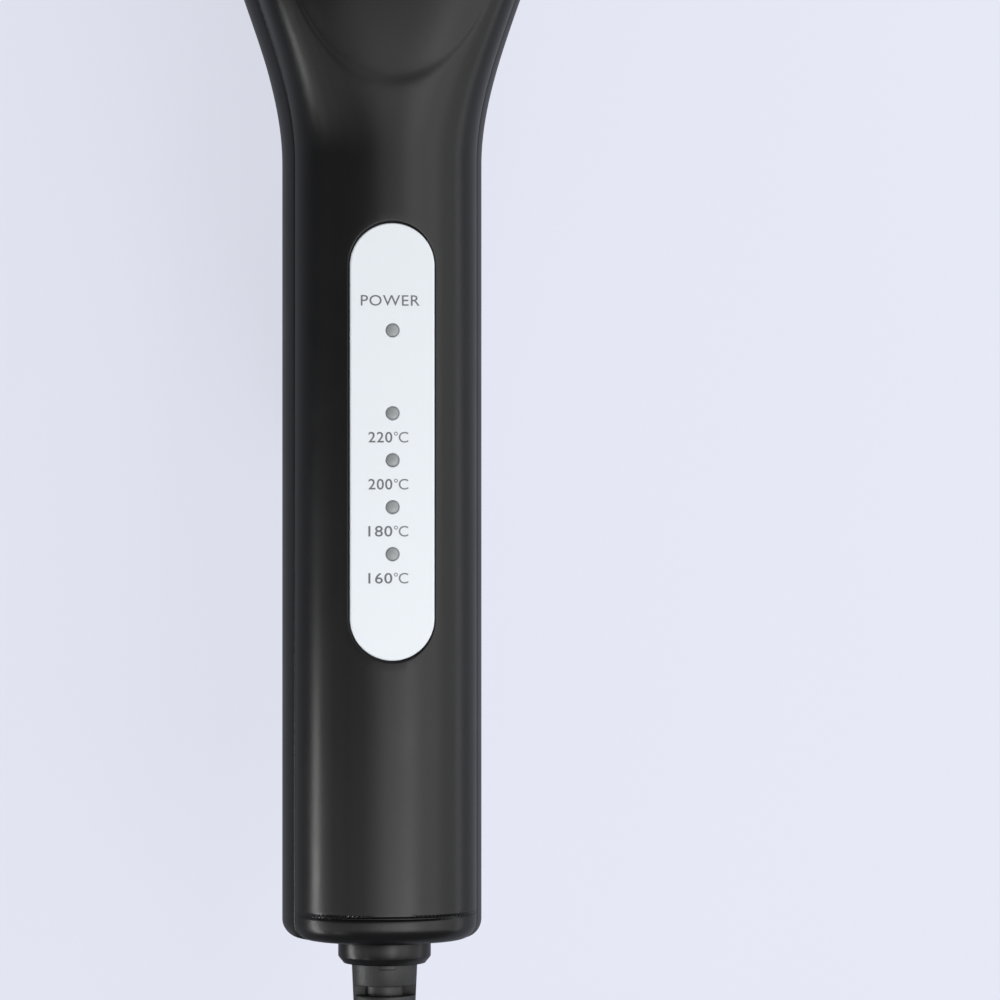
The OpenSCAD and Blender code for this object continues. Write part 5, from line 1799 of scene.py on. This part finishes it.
@dataclass(frozen=True)
class PlugAndTie:
    """The flat two-pole plug, and the strap that ties the coil."""

    at: Flat = (-47.0, -237.0)
    width: float = 35.3
    thick: float = 13.7
    length: float = 34.0
    pin_r: float = 2.0
    pin_l: float = 19.0
    pin_gap: float = 18.6
    sleeve_l: float = 10.0
    tie_w: float = 9.0
    tie_t: float = 0.8
    coil_at: Flat = (-21.0, -338.0)
    coil_half: float = 9.6
    coil_top: float = 26.8

    def build(self) -> list[Any]:
        """Makes the plug, its pins with their sleeves, and the tie."""
        return [*self.plug(), self.tie()]

    def section(self, d: float) -> tuple[float, float, float]:
        """Half width, half thickness and squareness of the plug, d from the cord."""
        grown = smooth((d - 7) / 19)
        half_w = 4.5 + 1.1 * smooth(d / 8) + (self.width / 2 - 5.6) * grown
        half_t = 4.5 + (self.thick / 2 - 4.5) * smooth((d - 3) / 20)
        edge = eased(1.2, 1.2 - (self.length - d)) if d > self.length - 1.2 else 0.0
        return half_w - edge, half_t - edge, 2.0 + 1.4 * grown

    def plug(self) -> list[Any]:
        """Makes the plug's body and its pins."""
        nose = [self.length - 1.2 * (1 - math.sin(math.radians(t))) for t in range(15, 91, 15)]
        rings = []
        for d in (0.0, 0.15, 0.4, 0.8, *spread(1.0, self.length - 1.4, 0.8), *nose):
            half_w, half_t, square = self.section(d)
            start, e = eased(0.8, 0.8 - d) * 0.5, 2 / square
            rings.append([(self.at[0] + math.copysign(abs(c) ** e, c) * (half_w - start),
                           self.at[1] + d,
                           self.thick / 2 + math.copysign(abs(s) ** e, s) * (half_t - start))
                          for c, s in ring(1.0, 72)])
        base = self.at[1] + self.length
        sleeves, pins = wrapped(rings), bmesh.new()
        for side in (-1, 1):
            spot = (self.at[0] + side * self.pin_gap / 2, base, self.thick / 2)
            move = Matrix.Translation(spot) @ Matrix.Rotation(math.radians(-90), 4, "X")
            sleeve = [(0.0, -1.0), (1.95, -1.0), (1.95, self.sleeve_l - 0.15),
                      (1.8, self.sleeve_l), (0.0, self.sleeve_l)]
            turned(sleeves, sleeve, move, 32)
            r, end = self.pin_r, self.pin_l
            metal = [(0.0, self.sleeve_l - 1), (r - 0.08, self.sleeve_l - 1),
                     (r - 0.08, self.sleeve_l + 0.05), (r, self.sleeve_l + 0.15), (r, end - 1.6),
                     *rounded(1.6, (r - 1.6, end - 1.6), 12, 90, 6), (0.0, end)]
            turned(pins, metal, move, 32)
        return [piece("plug_moulding", sleeves, RUBBER, Body.HANDLE, ["plug_body"],
                      ON_FLOOR),
                piece("plug_prongs", pins, NICKEL, Body.HANDLE, ["plug_pins"],
                      ON_FLOOR)]

    def tie(self) -> Any:
        """Makes the strap: a band round the turns."""
        high, half = self.coil_top + self.tie_t, self.coil_half + 0.5 + self.tie_t
        outline = round_box((half, high / 2), 3.2, (self.coil_at[1], high / 2), 8)
        bm = bmesh.new()
        outer = [bm.verts.new((self.coil_at[0] - self.tie_w / 2, y, z)) for y, z in outline]
        rim = [bm.edges.new((p, q)) for p, q in zip(outer, [*outer[1:], outer[0]])]
        wide = bmesh.ops.extrude_edge_only(bm, edges=rim)["geom"]
        bmesh.ops.translate(bm, verts=verts_of(wide), vec=(self.tie_w, 0, 0))
        bmesh.ops.recalc_face_normals(bm, faces=bm.faces)
        bmesh.ops.solidify(bm, geom=bm.faces[:], thickness=self.tie_t)
        bmesh.ops.recalc_face_normals(bm, faces=bm.faces)
        return piece("coil_strap", bm, STRAP, Body.HANDLE, ["cord_tie"], ON_FLOOR)


# Nodes of the frame that keep their shape


def dress_nodes(parts: Sequence[dict], nodes: dict[str, Any]) -> None:
    """Gives every node of the frame that still shows the finish of its slot.

    Args:
        parts: the record's parts, with their slots.
        nodes: the frame's objects by name.
    """
    for part in parts:
        node = nodes[part["node"]]
        finish = FINISHES[Slot(part["material_slot"])]
        for k in range(len(node.material_slots)):
            node.material_slots[k].material = finish.material()
        if not node.hide_render:
            LOG.info("%s keeps its shape, %s", part["node"], finish.name)


# Studio


@dataclass(frozen=True)
class Lamp:
    """A soft lamp on an arch round the handle.

    Attributes:
        name: what it is called.
        angle: degrees from upright, to the right where it is positive.
        reach: distance from the handle.
        along: its middle along the handle.
        size: its width across the handle and its length along it.
        glow: its radiance.
    """

    name: str
    angle: float
    reach: float
    along: float
    size: Flat
    glow: float


@dataclass(frozen=True)
class Studio:
    """The camera, the lamps, the pale floor and the world."""

    eye: Spot = (-73.0, 80.8, 803.0)
    aim: Spot = (21.75, 80.8, 8.0)
    lens: float = 155.25
    pale: Colour = (0.745, 0.767, 0.863)
    sky: float = 0.15
    floor_glow: Flat = (0.8, 1.05)
    # Painted light: strength of the floor's glow at -x and at +x, seen only in reflections.
    painted_floor_glow: Flat = (0.12, 0.65)
    floor_reach: float = 300.0
    arch_n: float = 15.0
    low_from: float = 80.0
    lamps: tuple[Lamp, ...] = (
        Lamp("low_left", -97, 450, -145, (90, 320), 13.0),
        Lamp("beyond_tail", -58, 900, -640, (240, 300), 4.0),
        Lamp("left", -75, 900, -190, (300, 380), 1.8),
        Lamp("high_left", -52, 900, -190, (300, 380), 1.5),
        Lamp("higher_left", -30, 900, -190, (300, 380), 1.5),
        Lamp("over_tail", -8, 900, -190, (300, 380), 2.0),
        Lamp("over_tail_right", 12, 900, -190, (300, 380), 4.2),
        Lamp("overhead", 5, 900, 80, (300, 1000), 0.94),
        Lamp("overhead_right", 22, 900, 80, (300, 1000), 2.9),
        Lamp("high_right", 45, 900, 80, (390, 1000), 2.7),
        Lamp("right", 70, 900, 80, (390, 1000), 1.5),
        Lamp("right_of_head", 70, 900, 420, (300, 400), 1.0),
        Lamp("low_right", 93, 450, 60, (110, 560), 1.8),
    )

    def build(self) -> None:
        """Makes them all."""
        self.camera()
        floor = self.floor()
        for lamp in self.lamps:
            made = self.lamp(lamp)
            if abs(lamp.angle) > self.low_from:
                self.keep_off(made, floor)
        self.world()

    def turned_to(self, at: Vector, aim: Vector) -> Matrix:
        """Looks from a place to another, with the handle's length upwards."""
        back = (at - aim).normalized()
        right = PLACE.along.cross(back).normalized()
        up = back.cross(right)
        turn = Matrix((right, up, back)).transposed().to_4x4()
        return Matrix.Translation(at) @ turn

    def camera(self) -> None:
        """Makes the camera at the photograph's angle."""
        data = bpy.data.cameras.new("camera")
        data.lens = self.lens
        data.clip_end = 50.0
        made = placed("camera", data)
        made.matrix_world = self.turned_to(PLACE.point(*self.eye), PLACE.point(*self.aim))
        bpy.context.scene.camera = made

    def keep_off(self, lamp: bpy.types.Object, floor: bpy.types.Object) -> None:
        """Leaves the floor out of what a low lamp lights, so that no patch shows beside it."""
        group = bpy.data.collections.new(lamp.name + "_leaves_out")
        group.objects.link(floor)
        lamp.light_linking.receiver_collection = group
        group.collection_objects[0].light_linking.link_state = "EXCLUDE"

    def lamp(self, lamp: Lamp) -> bpy.types.Object:
        """Makes one soft lamp."""
        data = bpy.data.lights.new(lamp.name, "AREA")
        data.shape = "RECTANGLE"
        data.size, data.size_y = lamp.size[0] * MM, lamp.size[1] * MM
        data.energy = lamp.glow * math.pi * data.size * data.size_y
        made = placed(lamp.name, data)
        turn = math.radians(lamp.angle)
        aim = Vector((0, lamp.along, self.arch_n))
        at = aim + lamp.reach * Vector((math.sin(turn), 0, math.cos(turn)))
        made.matrix_world = self.turned_to(PLACE.point(*at), PLACE.point(*aim))
        return made

    def floor(self) -> bpy.types.Object:
        """Makes the pale floor, which shows its own colour and keeps the shadow. In reflections it shows painted
        light instead: a glow that ramps from dim at -x to bright at +x.
        """
        bm = bmesh.new()
        bmesh.ops.create_grid(bm, x_segments=8, y_segments=8, size=12.0)
        bmesh.ops.translate(bm, verts=bm.verts, vec=(0, 0, -0.0002))
        made = placed("floor", mesh_of(bm, "floor"))
        material = bpy.data.materials.new("pale_floor")
        material.use_nodes = True
        w = Wiring(material.node_tree)
        path = w.node("ShaderNodeLightPath").outputs
        reach, pale = self.floor_reach * MM, (*self.pale, 1)
        across = w.node("ShaderNodeSeparateXYZ", in_0=w.place())
        # Painted light: seen in reflections only, the floor glows dimmer towards -x and brighter towards +x.
        slope = w.node("ShaderNodeMapRange", in_0=across.outputs[0], in_1=-reach, in_2=reach,
                       in_3=self.painted_floor_glow[0], in_4=self.painted_floor_glow[1])
        paint = w.node("ShaderNodeBsdfDiffuse", in_Color=pale)
        glow = w.node("ShaderNodeEmission", in_Color=pale, in_Strength=self.floor_glow[1])
        painted_glow = w.node("ShaderNodeEmission", in_Color=pale, in_Strength=slope.outputs[0])
        shown = w.mixed(self.floor_glow[0], paint, glow)
        seen = w.mixed(path["Is Camera Ray"], paint, shown)
        seen = w.mixed(path["Is Glossy Ray"], seen, painted_glow)
        w.node("ShaderNodeOutputMaterial", in_Surface=seen.outputs[0])
        made.data.materials.append(material)
        return made

    def world(self) -> None:
        """Makes the world: soft light all round, and the floor's colour where it is seen."""
        world = bpy.data.worlds.new("studio")
        bpy.context.scene.world = world
        world.use_nodes = True
        w = Wiring(world.node_tree)
        path = w.node("ShaderNodeLightPath").outputs
        seen = w.math("ADD", path["Is Camera Ray"], path["Is Transmission Ray"], use_clamp=True)
        light = w.node("ShaderNodeBackground", in_Color=(0.97, 0.98, 1.0, 1), in_Strength=self.sky)
        shown = w.node("ShaderNodeBackground", in_Color=(*self.pale, 1), in_Strength=1.0)
        w.node("ShaderNodeOutputWorld", in_Surface=w.mixed(seen, light, shown).outputs[0])


def main() -> None:
    """Builds the sub-assemblies in order."""
    logging.basicConfig(level=logging.INFO, format="%(message)s")
    scene = bpy.context.scene
    scene.view_settings.view_transform = "Standard"
    Studio().build()
    on_cord = PlugAndTie().build()
    MainsCord().build(on_cord)
    panel = IndicatorPanel()
    FrontShell().build(panel)
    BackShell().build()
    panel.build()
    BackFittings().build()
    Rocker().build()
    HeatedPlate("front_plate_coated", "front_plate", Body.HANDLE, 4.15, 1).build()
    HeatedPlate("rear_plate_coated", "rear_plate", Body.PLATE, 3.85, -1).build()
    SwivelEnd().build()
    dress_nodes(frame["record"]["subparts"], frame["nodes"])


if __name__ == "__main__":
    main()
